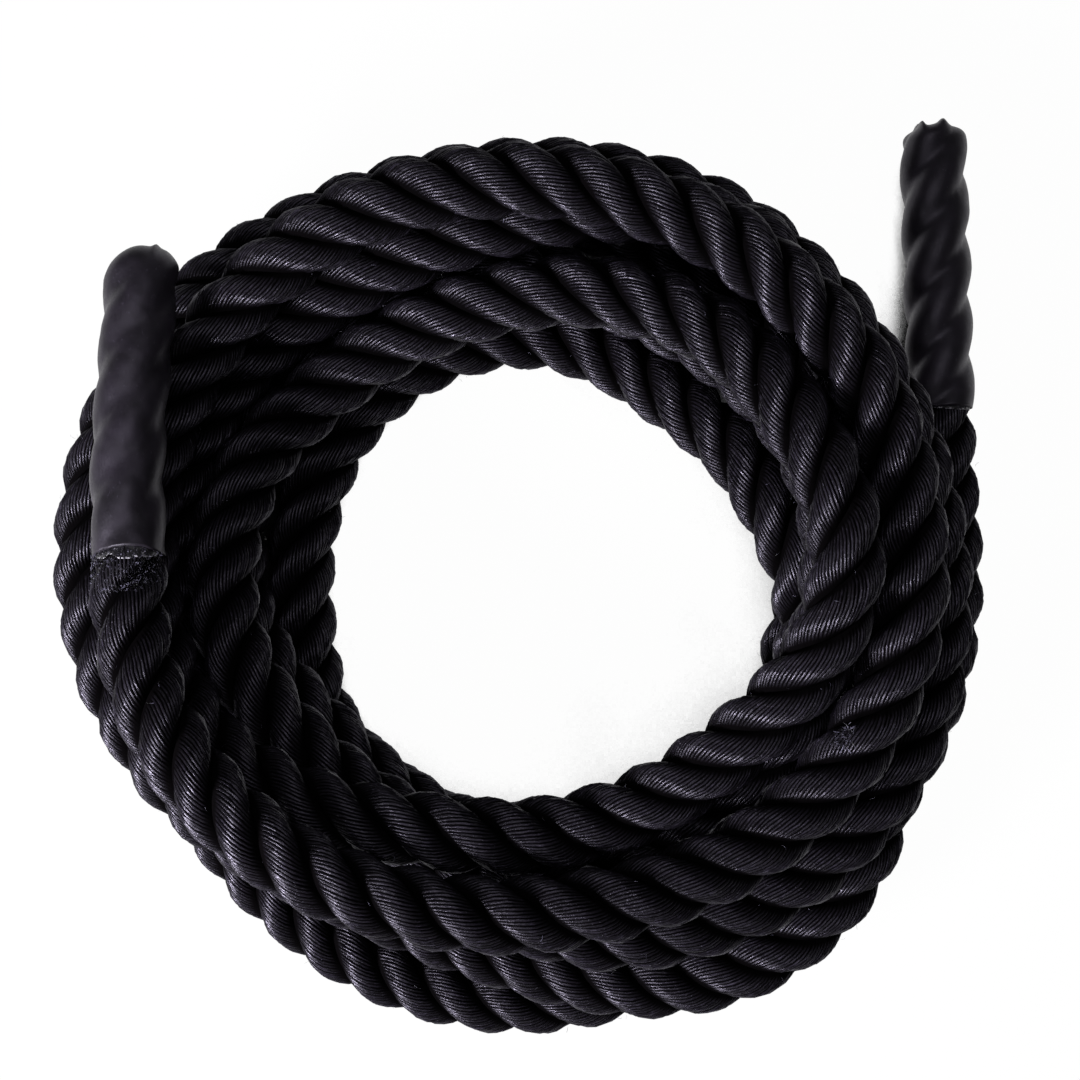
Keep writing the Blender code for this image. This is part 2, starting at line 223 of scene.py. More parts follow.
# The upper sleeve bows to one side, most at a third of its length from the mouth. There x * x * (1 - x) is
# 4 / 27, with x as the share of the way from the tip.
TOP_SLEEVE_BOW = 0.0032
TO_BOW_PEAK = 27 / 4
from_tip = np.linalg.norm(rope_line - rope_line[0], axis=1) / SLEEVE_LENGTH
sleeved = (from_tip < 1) & (np.arange(len(rope_line)) < 2 * RUN_PIECES * LINE_POINTS_A_PIECE)
rope_line[sleeved, 0] -= TOP_SLEEVE_BOW * TO_BOW_PEAK * (from_tip**2 * (1 - from_tip))[sleeved]
line_length = np.concatenate([[0], np.linalg.norm(np.diff(rope_line, axis=0), axis=1).cumsum()])
top_mouth_length = line_length[RUN_PIECES * LINE_POINTS_A_PIECE] - TOP_RUN
floor_mouth_length = line_length[-1 - RUN_PIECES * LINE_POINTS_A_PIECE] + FLOOR_RUN


# The rope itself: three strands of black polyester yarn, right-hand laid, 88 mm to a whole turn of the lay.
# Each strand is pressed into a rounded wedge by the other two. Its yarns run nearly along the rope, and each
# one goes in under the next strand, so a ridge starts and ends in the dark groove on either side.
STRANDS = 3

# The lay is spaced so that the notches between strands fall as the real rope's do beside both sleeves.
CRESTS_IN_RUN = 301.4333
LAYS_IN_RUN = CRESTS_IN_RUN / STRANDS
SLEEVED_LAY_LENGTH = 0.101
FIRST_LAY_ANGLE = math.radians(-22)
VISIBLE_DIAMETER = 0.0386
strand_reach_share = 0.206
STRAND_GAP_ANGLE = math.radians(0.6)
STRAND_CORE_RADIUS = 0.0004
CUT_END_DEPTH = 0.0142
mouth_squeeze_share = 0.93
sleeved_squeeze_share = 0.90
SQUEEZE_RUN = 0.014
LOWEST_PLACE = (-10, -10, 0.0001)
STRAND_MERGE = 0.000001

# The yarns: their ridges are unlike in height, swell and thin along their way, and stray a little sideways.
YARNS_ACROSS = 20
YARN_RIDGE = 0.00085
LOWEST_CREST, HIGHEST_CREST, MIDDLE_CREST = 0.4, 1.45, 0.7
CREST_SWELL = 1.7
SWELLS_A_YARN = 0.61
SWELLS_A_METRE = 120.0
yarn_stray_share = 0.09
STRAYS_A_COLUMN = 0.23
# How fast the painted shade on a strand's sides grows toward its corners, where it is full.
PAINTED_SHADE_AT_CORNER = 1.33

lay_length = (floor_mouth_length - top_mouth_length) / LAYS_IN_RUN
to_strand = strand_reach_share * VISIBLE_DIAMETER
strand_radius = VISIBLE_DIAMETER / 2 - to_strand
wedge = math.pi / STRANDS - STRAND_GAP_ANGLE
past_strand = math.sqrt(strand_radius**2 - (to_strand * math.sin(wedge)) ** 2)
corner_reach = to_strand * math.cos(wedge) + past_strand
corner_angle = math.atan2(corner_reach * math.sin(wedge), corner_reach * math.cos(wedge) - to_strand)


def add_node(tree, kind, links=None, **settings):
    """A node with its settings, and each input either linked to a socket or given a value."""
    node = tree.nodes.new(kind)
    for name, value in settings.items():
        setattr(node, name, value)
    for key, value in (links or {}).items():
        if isinstance(value, bpy.types.Node):
            value = value.outputs[0]
        if isinstance(value, bpy.types.NodeSocket):
            tree.links.new(value, node.inputs[key])
        else:
            node.inputs[key].default_value = value
    return node


def strand_tree():
    """A tree that lays one strand about a line, whose points carry the lay's angle and the squeeze."""
    tree = bpy.data.node_groups.new("laid_strand", "GeometryNodeTree")
    face = tree.interface
    face.new_socket("Line", in_out="INPUT", socket_type="NodeSocketGeometry")
    sizes = ("Strand Turn", "To Strand", "Strand Radius", "Corner Angle", "Core Radius", "Yarn Ridge",
             "Yarn Pace", "Yarns", "Seed")
    for name in sizes:
        face.new_socket(name, in_out="INPUT", socket_type="NodeSocketFloat")
    face.new_socket("Material", in_out="INPUT", socket_type="NodeSocketMaterial")
    face.new_socket("Strand", in_out="OUTPUT", socket_type="NodeSocketGeometry")
    given = add_node(tree, "NodeGroupInput")
    line = add_node(tree, "GeometryNodeMeshToCurve", {0: given.outputs["Line"]})
    total = add_node(tree, "GeometryNodeCurveLength", {0: line})

    # A sheet of columns, two to a yarn, and nine rows: core, corner, five on the arc, corner and core again.
    twice = add_node(tree, "ShaderNodeMath", {0: given.outputs["Yarns"], 1: 2.0}, operation="MULTIPLY")
    last = add_node(tree, "ShaderNodeMath", {0: twice, 1: 1.0}, operation="SUBTRACT")
    sheet = add_node(tree, "GeometryNodeMeshGrid",
                     {"Size X": last, "Size Y": 8.0, "Vertices X": twice, "Vertices Y": 9})
    place = add_node(tree, "ShaderNodeSeparateXYZ", {0: add_node(tree, "GeometryNodeInputPosition")})
    half = add_node(tree, "ShaderNodeMath", {0: last, 1: 0.5}, operation="MULTIPLY")
    shifted = add_node(tree, "ShaderNodeMath", {0: place.outputs["X"], 1: half}, operation="ADD")
    column = add_node(tree, "ShaderNodeMath", {0: shifted}, operation="ROUND")
    row = add_node(tree, "ShaderNodeMath", {0: place.outputs["Y"]}, operation="ROUND")
    away = add_node(tree, "ShaderNodeMath", {0: row}, operation="ABSOLUTE")
    hidden = add_node(tree, "ShaderNodeMath", {0: away, 1: 2.5}, operation="GREATER_THAN")
    core = add_node(tree, "ShaderNodeMath", {0: away, 1: 3.5}, operation="GREATER_THAN")
    halved = add_node(tree, "ShaderNodeMath", {0: column, 1: 0.5, 2: 0.25}, operation="MULTIPLY_ADD")
    yarn = add_node(tree, "ShaderNodeMath", {0: halved}, operation="FLOOR")
    middle = add_node(tree, "ShaderNodeMath", {0: yarn, 1: 2.0, 2: 0.5}, operation="MULTIPLY_ADD")
    joined = add_node(tree, "ShaderNodeMix", {"Factor": hidden, "A": column, "B": middle})
    odd = add_node(tree, "ShaderNodeMath", {0: column, 1: 2.0}, operation="FLOORED_MODULO")

    # Each yarn crosses its strand as the rope runs on, so its place along the rope falls as it goes round.
    share = add_node(tree, "ShaderNodeMath", {0: row, 1: 3.0}, operation="DIVIDE")
    inside = add_node(tree, "ShaderNodeClamp", {"Value": share, "Min": -1.0, "Max": 1.0})
    stray_place = add_node(tree, "ShaderNodeCombineXYZ",
                           {0: add_node(tree, "ShaderNodeMath", {0: column, 1: STRAYS_A_COLUMN},
                                         operation="MULTIPLY"),
                            1: row, 2: given.outputs["Seed"]})
    stray = add_node(tree, "ShaderNodeTexNoise", {"Vector": stray_place, "Scale": 1.0, "Detail": 1.0})
    stray = add_node(tree, "ShaderNodeMath", {0: stray.outputs[0], 1: 0.5}, operation="SUBTRACT")
    stray = add_node(tree, "ShaderNodeMath", {0: stray, 1: yarn_stray_share}, operation="MULTIPLY")
    stray = add_node(tree, "ShaderNodeMix", {"Factor": hidden, "A": stray, "B": 0.0})
    strayed = add_node(tree, "ShaderNodeMath", {0: inside, 1: stray.outputs["Result"]}, operation="ADD")
    angle = add_node(tree, "ShaderNodeMath",
                     {0: strayed, 1: given.outputs["Corner Angle"]}, operation="MULTIPLY")
    behind = add_node(tree, "ShaderNodeMath", {0: inside, 1: YARNS_ACROSS}, operation="MULTIPLY")
    ahead = add_node(tree, "ShaderNodeMath", {0: joined.outputs["Result"], 1: behind}, operation="SUBTRACT")
    onward = add_node(tree, "ShaderNodeMath", {0: ahead, 1: YARNS_ACROSS + 3}, operation="SUBTRACT")
    length = add_node(tree, "ShaderNodeMath",
                      {0: onward, 1: given.outputs["Yarn Pace"]}, operation="MULTIPLY")
    kept = add_node(tree, "ShaderNodeClamp", {"Value": length, "Min": 0.0, "Max": total})
    lay = add_node(tree, "GeometryNodeInputNamedAttribute", {"Name": "lay"}, data_type="FLOAT_VECTOR")
    reading = add_node(tree, "GeometryNodeSampleCurve",
                       {"Curves": line, "Value": lay.outputs["Attribute"], "Length": kept},
                       data_type="FLOAT_VECTOR", mode="LENGTH")
    at = add_node(tree, "ShaderNodeSeparateXYZ", {0: reading.outputs["Value"]})
    side = add_node(tree, "ShaderNodeVectorMath",
                    {0: reading.outputs["Tangent"], 1: (0, 0, 1)}, operation="CROSS_PRODUCT")
    side = add_node(tree, "ShaderNodeVectorMath", {0: side}, operation="NORMALIZE")
    up = add_node(tree, "ShaderNodeVectorMath",
                  {0: side, 1: reading.outputs["Tangent"]}, operation="CROSS_PRODUCT")

    # The section: an arc about the strand's own middle, ridged by its yarns, or the core near the rope's.
    number = add_node(tree, "FunctionNodeRandomValue",
                      {"Min": LOWEST_CREST, "Max": HIGHEST_CREST, "ID": yarn, "Seed": given.outputs["Seed"]},
                      data_type="FLOAT")
    crest = add_node(tree, "ShaderNodeMath", {0: odd, 1: number.outputs[1]}, operation="MULTIPLY")
    swell_place = add_node(tree, "ShaderNodeCombineXYZ",
                           {0: add_node(tree, "ShaderNodeMath", {0: yarn, 1: SWELLS_A_YARN},
                                         operation="MULTIPLY"),
                            1: add_node(tree, "ShaderNodeMath", {0: length, 1: SWELLS_A_METRE},
                                         operation="MULTIPLY"),
                            2: given.outputs["Seed"]})
    swell = add_node(tree, "ShaderNodeTexNoise", {"Vector": swell_place, "Scale": 1.0, "Detail": 2.0})
    swell = add_node(tree, "ShaderNodeMath", {0: swell.outputs[0], 1: 0.5}, operation="SUBTRACT")
    crest = add_node(tree, "ShaderNodeMath", {0: swell, 1: CREST_SWELL, 2: crest}, operation="MULTIPLY_ADD")
    seen = add_node(tree, "ShaderNodeMath", {0: 1.0, 1: hidden}, operation="SUBTRACT")
    rise = add_node(tree, "ShaderNodeMath", {0: crest, 1: MIDDLE_CREST}, operation="SUBTRACT")
    rise = add_node(tree, "ShaderNodeMath", {0: rise, 1: seen}, operation="MULTIPLY")
    reach = add_node(tree, "ShaderNodeMath",
                     {0: rise, 1: given.outputs["Yarn Ridge"], 2: given.outputs["Strand Radius"]},
                     operation="MULTIPLY_ADD")
    round_x = add_node(tree, "ShaderNodeMath", {0: angle}, operation="COSINE")
    round_y = add_node(tree, "ShaderNodeMath", {0: angle}, operation="SINE")
    out_x = add_node(tree, "ShaderNodeMath",
                     {0: round_x, 1: reach, 2: given.outputs["To Strand"]}, operation="MULTIPLY_ADD")
    out_y = add_node(tree, "ShaderNodeMath", {0: round_y, 1: reach}, operation="MULTIPLY")
    arc = add_node(tree, "ShaderNodeCombineXYZ", {0: out_x, 1: out_y})
    heart = add_node(tree, "ShaderNodeCombineXYZ", {0: given.outputs["Core Radius"]})
    section = add_node(tree, "ShaderNodeMix", {"Factor": core, 4: arc, 5: heart}, data_type="VECTOR")

    # The first and last yarn shrink to a point in the strand's middle, which closes its cut ends.
    end = add_node(tree, "ShaderNodeMath", {0: given.outputs["Yarns"], 1: 1.5}, operation="SUBTRACT")
    after_first = add_node(tree, "ShaderNodeMath", {0: yarn, 1: 0.5}, operation="GREATER_THAN")
    before_last = add_node(tree, "ShaderNodeMath", {0: yarn, 1: end}, operation="LESS_THAN")
    open_here = add_node(tree, "ShaderNodeMath", {0: after_first, 1: before_last}, operation="MULTIPLY")
    strand_middle = add_node(tree, "ShaderNodeCombineXYZ", {0: given.outputs["To Strand"]})
    closed = add_node(tree, "ShaderNodeMix", {"Factor": open_here, 4: strand_middle, 5: section.outputs[1]},
                      data_type="VECTOR")
    squeezed = add_node(tree, "ShaderNodeVectorMath",
                        {0: closed.outputs[1], "Scale": at.outputs["Y"]}, operation="SCALE")
    turn = add_node(tree, "ShaderNodeMath",
                    {0: at.outputs["X"], 1: given.outputs["Strand Turn"]}, operation="ADD")
    turned = add_node(tree, "ShaderNodeVectorRotate",
                      {"Vector": squeezed, "Angle": turn}, rotation_type="Z_AXIS")
    flat = add_node(tree, "ShaderNodeSeparateXYZ", {0: turned})
    upward = add_node(tree, "ShaderNodeVectorMath", {0: up, "Scale": flat.outputs["X"]}, operation="SCALE")
    sideward = add_node(tree, "ShaderNodeVectorMath",
                        {0: side, "Scale": flat.outputs["Y"]}, operation="SCALE")
    spot = add_node(tree, "ShaderNodeVectorMath",
                    {0: reading.outputs["Position"], 1: upward}, operation="ADD")
    spot = add_node(tree, "ShaderNodeVectorMath", {0: spot, 1: sideward}, operation="ADD")
    resting = add_node(tree, "ShaderNodeVectorMath", {0: spot, 1: LOWEST_PLACE}, operation="MAXIMUM")

    # The surface carries each yarn's number and place along the rope, and valleys between ridges are sharp.
    # It also carries a mask of painted shade, which grows from the strand's middle toward its hidden sides.
    yarn_place = add_node(tree, "ShaderNodeMath", {0: column, 1: 0.5}, operation="MULTIPLY")
    metres = add_node(tree, "ShaderNodeCombineXYZ", {0: yarn_place, 1: length})
    mapped = add_node(tree, "GeometryNodeStoreNamedAttribute",
                      {"Geometry": sheet, "Name": "yarn_map", "Value": metres},
                      data_type="FLOAT2", domain="CORNER")
    valley = add_node(tree, "ShaderNodeMath", {0: 1.0, 1: odd}, operation="SUBTRACT")
    noted = add_node(tree, "GeometryNodeStoreNamedAttribute",
                     {"Geometry": mapped, "Name": "valley", "Value": valley},
                     data_type="FLOAT", domain="POINT")
    squared = add_node(tree, "ShaderNodeMath", {0: share, 1: share}, operation="MULTIPLY")
    painted_side_shade = add_node(tree, "ShaderNodeMath", {0: squared, 1: PAINTED_SHADE_AT_CORNER}, operation="MULTIPLY")
    noted = add_node(tree, "GeometryNodeStoreNamedAttribute",
                     {"Geometry": noted, "Name": "painted_side_shade", "Value": painted_side_shade}, data_type="FLOAT", domain="POINT")
    laid = add_node(tree, "GeometryNodeSetPosition", {"Geometry": noted, "Position": resting})
    merged = add_node(tree, "GeometryNodeMergeByDistance", {"Geometry": laid, "Distance": STRAND_MERGE})
    smooth = add_node(tree, "GeometryNodeSetShadeSmooth", {"Geometry": merged, "Shade Smooth": True})
    in_valley = add_node(tree, "GeometryNodeInputNamedAttribute", {"Name": "valley"}, data_type="FLOAT")
    deep = add_node(tree, "ShaderNodeMath",
                    {0: in_valley.outputs["Attribute"], 1: 0.7}, operation="GREATER_THAN")
    creased = add_node(tree, "GeometryNodeSetShadeSmooth",
                       {"Geometry": smooth, "Selection": deep, "Shade Smooth": False}, domain="EDGE")
    single = add_node(tree, "GeometryNodeRealizeInstances", {"Geometry": creased})
    coloured = add_node(tree, "GeometryNodeSetMaterial",
                        {"Geometry": single, "Material": given.outputs["Material"]})
    add_node(tree, "NodeGroupOutput", {"Strand": coloured})
    return tree


def plain_mesh(name, mesh, tree, inputs):
    """Runs a tree on a mesh with these inputs, and gives its result as a plain mesh object."""
    source = bpy.data.objects.new(name + "_source", mesh)
    bpy.context.scene.collection.objects.link(source)
    modifier = source.modifiers.new("shape", "NODES")
    modifier.node_group = tree
    sockets = {item.name: item.identifier for item in tree.interface.items_tree if item.in_out == "INPUT"}
    for label, value in inputs.items():
        modifier[sockets[label]] = value
    evaluated = source.evaluated_get(bpy.context.evaluated_depsgraph_get())
    result = bpy.data.meshes.new_from_object(evaluated)
    result.name = name
    bpy.data.objects.remove(source)
    outward = bmesh.new()
    outward.from_mesh(result)
    bmesh.ops.recalc_face_normals(outward, faces=outward.faces)
    outward.to_mesh(result)
    outward.free()
    piece = bpy.data.objects.new(name, result)
    bpy.context.scene.collection.objects.link(piece)
    return piece


def linear(code, alpha=1.0):
    """An sRGB hex colour as the linear values that a shader takes."""
    values = [int(code[k : k + 2], 16) / 255 for k in (0, 2, 4)]
    return [v / 12.92 if v <= 0.04045 else ((v + 0.055) / 1.055) ** 2.4 for v in values] + [alpha]


# How often the yarn's patterns repeat: a speck is under 1 mm and a worn patch about 3 cm wide.
STREAKS_A_YARN = 2.6
STREAKS_A_METRE = 170.0
SPECKS_A_METRE = 1500.0
WORN_PATCHES_A_METRE = 32.0


def black_polyester_yarn():
    """Spun polyester, dyed black: each yarn is round and shiny on top, with painted shade between and beside
    the yarns and painted glints on some streaks.
    """
    material = bpy.data.materials.new("black_polyester_yarn")
    material.use_nodes = True
    tree = material.node_tree
    shader = tree.nodes["Principled BSDF"]
    where = add_node(tree, "ShaderNodeUVMap", uv_map="yarn_map")
    split = add_node(tree, "ShaderNodeSeparateXYZ", {0: where})
    across = add_node(tree, "ShaderNodeMath", {0: split.outputs["X"]}, operation="FRACT")
    yarn = add_node(tree, "ShaderNodeMath", {0: split.outputs["X"]}, operation="FLOOR")
    half_turn = add_node(tree, "ShaderNodeMath", {0: across, 1: math.pi}, operation="MULTIPLY")
    ridge = add_node(tree, "ShaderNodeMath", {0: half_turn}, operation="SINE")
    own = add_node(tree, "ShaderNodeTexWhiteNoise", {"W": yarn}, noise_dimensions="1D")
    # Filaments: streaks about 0.7 mm across and 6 mm long, which lie along the yarn.
    streak_place = add_node(tree, "ShaderNodeCombineXYZ",
                            {0: add_node(tree, "ShaderNodeMath", {0: split.outputs["X"], 1: STREAKS_A_YARN},
                                         operation="MULTIPLY"),
                             1: add_node(tree, "ShaderNodeMath", {0: split.outputs["Y"], 1: STREAKS_A_METRE},
                                         operation="MULTIPLY")})
    streaks = add_node(tree, "ShaderNodeTexNoise",
                       {"Vector": streak_place, "Scale": 1.0, "Detail": 3.0, "Roughness": 0.7})
    height = add_node(tree, "ShaderNodeMath",
                      {0: ridge, 1: 0.5, 2: streaks.outputs["Fac"]}, operation="MULTIPLY_ADD")
    bump = add_node(tree, "ShaderNodeBump", {"Strength": 1.0, "Distance": 0.0004, "Height": height})
    tree.links.new(bump.outputs[0], shader.inputs["Normal"])
    # Painted shade: between two yarns, and on a strand's hidden sides, the surface is mixed into a flat
    # black, which stands in for shadow.
    painted_side_shade = add_node(tree, "ShaderNodeAttribute", attribute_name="painted_side_shade")
    clear_of_side_shade = add_node(tree, "ShaderNodeMath", {0: 1.0, 1: painted_side_shade.outputs["Fac"]}, operation="SUBTRACT",
                        use_clamp=True)
    clear_of_painted_shade = add_node(tree, "ShaderNodeMapRange", {"Value": ridge, "From Min": 0.28, "From Max": 0.85})
    clear_of_painted_shade = add_node(tree, "ShaderNodeMath", {0: clear_of_painted_shade, 1: clear_of_side_shade}, operation="MULTIPLY")
    washed = add_node(tree, "ShaderNodeMix", {"Factor": own, "A": linear("0a090b"), "B": linear("151219")},
                      data_type="RGBA")
    # Painted glints: some streaks get a paler base colour, which stands in for the shine of filaments that
    # lie straight.
    painted_glint = add_node(tree, "ShaderNodeMapRange",
                     {"Value": streaks.outputs["Fac"], "From Min": 0.52, "From Max": 0.66})
    tone = add_node(tree, "ShaderNodeMix",
                    {"Factor": painted_glint, "A": washed.outputs["Result"], "B": linear("37333f")},
                    data_type="RGBA")
    # Dust and broken fibre ends: whitish specks, most of them in worn patches.
    spot = add_node(tree, "ShaderNodeTexCoord").outputs["Object"]
    specks = add_node(tree, "ShaderNodeTexNoise", {"Vector": spot, "Scale": SPECKS_A_METRE, "Detail": 1.0})
    patches = add_node(tree, "ShaderNodeTexNoise",
                       {"Vector": spot, "Scale": WORN_PATCHES_A_METRE, "Detail": 2.0})
    worn = add_node(tree, "ShaderNodeMapRange",
                    {"Value": patches.outputs["Fac"], "From Min": 0.5, "From Max": 0.72})
    bar = add_node(tree, "ShaderNodeMath", {0: worn, 1: -0.1, 2: 0.76}, operation="MULTIPLY_ADD")
    speck = add_node(tree, "ShaderNodeMath", {0: specks.outputs["Fac"], 1: bar}, operation="GREATER_THAN")
    speck = add_node(tree, "ShaderNodeMath", {0: speck, 1: clear_of_painted_shade}, operation="MULTIPLY")
    dusty = add_node(tree, "ShaderNodeMix",
                     {"Factor": speck, "A": tone.outputs["Result"], "B": linear("6d6a77")},
                     data_type="RGBA")
    tree.links.new(dusty.outputs["Result"], shader.inputs["Base Color"])
    gloss = add_node(tree, "ShaderNodeMapRange",
                     {"Value": streaks.outputs["Fac"], "From Min": 0.4, "From Max": 0.6,
                      "To Min": 0.44, "To Max": 0.20})
    tree.links.new(gloss.outputs["Result"], shader.inputs["Roughness"])
    shader.inputs["IOR"].default_value = 1.55
    shader.inputs["Specular Tint"].default_value = linear("e9e2fa")
    # Painted shade: there a black diffuse shader takes the place of the shiny one, so these places show
    # neither light nor reflection.
    dark = add_node(tree, "ShaderNodeBsdfDiffuse", {"Color": linear("070607")})
    painted_shade_mix = add_node(tree, "ShaderNodeMixShader", {0: clear_of_painted_shade, 1: dark, 2: shader})
    tree.links.new(painted_shade_mix.outputs[0], tree.nodes["Material Output"].inputs["Surface"])
    return material


cut_from, cut_to = CUT_END_DEPTH, line_length[-1] - CUT_END_DEPTH
inner = (line_length > cut_from) & (line_length < cut_to)
strand_lengths = np.concatenate([[cut_from], line_length[inner], [cut_to]])
strand_line = np.column_stack([np.interp(strand_lengths, line_length, rope_line[:, k]) for k in range(3)])

in_top = np.clip(top_mouth_length - strand_lengths, 0, None)
in_floor = np.clip(strand_lengths - floor_mouth_length, 0, None)
between = np.clip(strand_lengths, top_mouth_length, floor_mouth_length)
lay_angles = FIRST_LAY_ANGLE + math.tau * (
    (between - top_mouth_length) / lay_length + (in_floor - in_top) / SLEEVED_LAY_LENGTH
)
to_mouth = np.minimum(
    np.abs(strand_lengths - top_mouth_length), np.abs(strand_lengths - floor_mouth_length)
)
outside = (strand_lengths > top_mouth_length) & (strand_lengths < floor_mouth_length)
far_share, near_share = np.where(outside, 1.0, sleeved_squeeze_share), mouth_squeeze_share
ease = np.clip(to_mouth / SQUEEZE_RUN, 0, 1)
ease = ease * ease * (3 - 2 * ease)
squeezes = near_share + (far_share - near_share) * ease

line_mesh = bpy.data.meshes.new("rope_line")
line_mesh.from_pydata(strand_line.tolist(), [(k, k + 1) for k in range(len(strand_line) - 1)], [])
lay_note = line_mesh.attributes.new("lay", "FLOAT_VECTOR", "POINT")
lay_note.data.foreach_set("vector", np.column_stack([lay_angles, squeezes, 0 * squeezes]).ravel())

yarn_turn = math.tau / lay_length * VISIBLE_DIAMETER / 2
yarn_pace = strand_radius * corner_angle / yarn_turn / YARNS_ACROSS
yarn_count = math.ceil((cut_to - cut_from) / yarn_pace / 2) + YARNS_ACROSS + 4
yarn_black = black_polyester_yarn()
laying = strand_tree()
for number in range(STRANDS):
    strand = plain_mesh(f"strand_{number + 1}", line_mesh.copy(), laying, {
        "Strand Turn": number * math.tau / STRANDS,
        "To Strand": to_strand,
        "Strand Radius": strand_radius,
        "Corner Angle": corner_angle,
        "Core Radius": STRAND_CORE_RADIUS,
        "Yarn Ridge": YARN_RIDGE,
        "Yarn Pace": yarn_pace,
        "Yarns": float(yarn_count),
        "Seed": float(number),
        "Material": yarn_black,
    })
    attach(strand, "root")
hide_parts("rope")


# The sleeves: a closed cap of dark heat-shrink film on each end, 1.2 mm thick. It is shrunk down over the
# taped strands, so they stand out in it as three twisted lobes, and its tip is drawn over their cut ends.
SLEEVE_WALL = 0.0012
FILM_BRIDGE = 0.004
FILM_RADIUS = 0.0185
FILM_MERGE = 0.00001
ribbed_share = 0.82
FILM_COLUMNS = 132
FILM_ROWS = 100
FLARE_FROM, FLARE_TO = 0.008, 0.034
CORNER_SPAN = 0.010
LIP_RUN = 0.008


def film_section(tree, given, angle, height):
    """The reach of a film drawn round three strands, at an angle and a height above the sleeve's mouth."""
    lay = add_node(tree, "ShaderNodeMath",
                   {0: height, 1: given.outputs["Lay Rate"], 2: given.outputs["Lay Angle"]},
                   operation="MULTIPLY_ADD")
    off = add_node(tree, "ShaderNodeMath", {0: angle, 1: lay}, operation="SUBTRACT")
    third = math.pi / STRANDS
    near = add_node(tree, "ShaderNodeMath", {0: off, 1: third, 2: -third}, operation="WRAP")
    near_size = add_node(tree, "ShaderNodeMath", {0: near}, operation="ABSOLUTE")
    far = add_node(tree, "ShaderNodeMath", {0: 2 * third, 1: near_size}, operation="SUBTRACT")
    shift = given.outputs["Strand Shift"]
    radius = add_node(tree, "ShaderNodeMath", {0: given.outputs["Crest"], 1: shift}, operation="SUBTRACT")
    radius_squared = add_node(tree, "ShaderNodeMath", {0: radius, 1: radius}, operation="MULTIPLY")
    reaches = []
    for turn in (near, far):
        ahead = add_node(tree, "ShaderNodeMath",
                         {0: add_node(tree, "ShaderNodeMath", {0: turn}, operation="COSINE"), 1: shift},
                         operation="MULTIPLY")
        aside = add_node(tree, "ShaderNodeMath",
                         {0: add_node(tree, "ShaderNodeMath", {0: turn}, operation="SINE"), 1: shift},
                         operation="MULTIPLY")
        aside_squared = add_node(tree, "ShaderNodeMath", {0: aside, 1: aside}, operation="MULTIPLY")
        rest = add_node(tree, "ShaderNodeMath", {0: radius_squared, 1: aside_squared}, operation="SUBTRACT")
        root = add_node(tree, "ShaderNodeMath", {0: rest}, operation="SQRT")
        reaches.append(add_node(tree, "ShaderNodeMath", {0: ahead, 1: root}, operation="ADD"))
    return add_node(tree, "ShaderNodeMath", {0: reaches[0], 1: reaches[1], 2: FILM_BRIDGE},
                    operation="SMOOTH_MAX"), near


def film_frame(tree, given, angle, reach, height):
    """The point at this angle, reach and height in the sleeve's own axes."""
    spot = given.outputs["Mouth"]
    parts = (
        ("Along", height),
        ("Up", add_node(tree, "ShaderNodeMath",
                        {0: add_node(tree, "ShaderNodeMath", {0: angle}, operation="COSINE"), 1: reach},
                        operation="MULTIPLY")),
        ("Side", add_node(tree, "ShaderNodeMath",
                          {0: add_node(tree, "ShaderNodeMath", {0: angle}, operation="SINE"), 1: reach},
                          operation="MULTIPLY")),
    )
    for way, amount in parts:
        step = add_node(tree, "ShaderNodeVectorMath", {0: given.outputs[way], "Scale": amount},
                        operation="SCALE")
        spot = add_node(tree, "ShaderNodeVectorMath", {0: spot, 1: step}, operation="ADD")
    return add_node(tree, "ShaderNodeVectorMath", {0: spot, 1: LOWEST_PLACE}, operation="MAXIMUM")


def film_sheet(tree, columns, rows):
    """A grid that goes round as columns and from one lip over the fold to the other as rows: -1 to 1."""
    sheet = add_node(tree, "GeometryNodeMeshGrid",
                     {"Size X": 1.0, "Size Y": 2.0, "Vertices X": columns + 1, "Vertices Y": 2 * rows + 1})
    place = add_node(tree, "ShaderNodeSeparateXYZ", {0: add_node(tree, "GeometryNodeInputPosition")})
    angle = add_node(tree, "ShaderNodeMath", {0: place.outputs["X"], 1: math.tau}, operation="MULTIPLY")
    away = add_node(tree, "ShaderNodeMath", {0: place.outputs["Y"]}, operation="ABSOLUTE")
    inner = add_node(tree, "ShaderNodeMath", {0: place.outputs["Y"], 1: -1e-6}, operation="LESS_THAN")
    return sheet, angle, away, inner


def film_finish(tree, sheet, spot, given):
    """Lays the grid on its points, closes its seam and gives it its material."""
    laid = add_node(tree, "GeometryNodeSetPosition", {"Geometry": sheet, "Position": spot})
    merged = add_node(tree, "GeometryNodeMergeByDistance", {"Geometry": laid, "Distance": FILM_MERGE})
    smooth = add_node(tree, "GeometryNodeSetShadeSmooth", {"Geometry": merged, "Shade Smooth": True})
    single = add_node(tree, "GeometryNodeRealizeInstances", {"Geometry": smooth})
    coloured = add_node(tree, "GeometryNodeSetMaterial",
                        {"Geometry": single, "Material": given.outputs["Material"]})
    add_node(tree, "NodeGroupOutput", {"Shape": coloured})


def film_noise(tree, angle, height, given, scale, detail):
    """Uneven values from 0 to 1 over the film, with no seam where it closes round."""
    cosine = add_node(tree, "ShaderNodeMath", {0: angle}, operation="COSINE")
    sine = add_node(tree, "ShaderNodeMath", {0: angle}, operation="SINE")
    onward = add_node(tree, "ShaderNodeMath", {0: height, 1: 1 / FILM_RADIUS}, operation="MULTIPLY")
    spot = add_node(tree, "ShaderNodeCombineXYZ", {0: cosine, 1: sine, 2: onward})
    return add_node(tree, "ShaderNodeTexNoise",
                    {"Vector": spot, "W": given.outputs["Seed"], "Scale": scale, "Detail": detail},
                    noise_dimensions="4D").outputs[0]


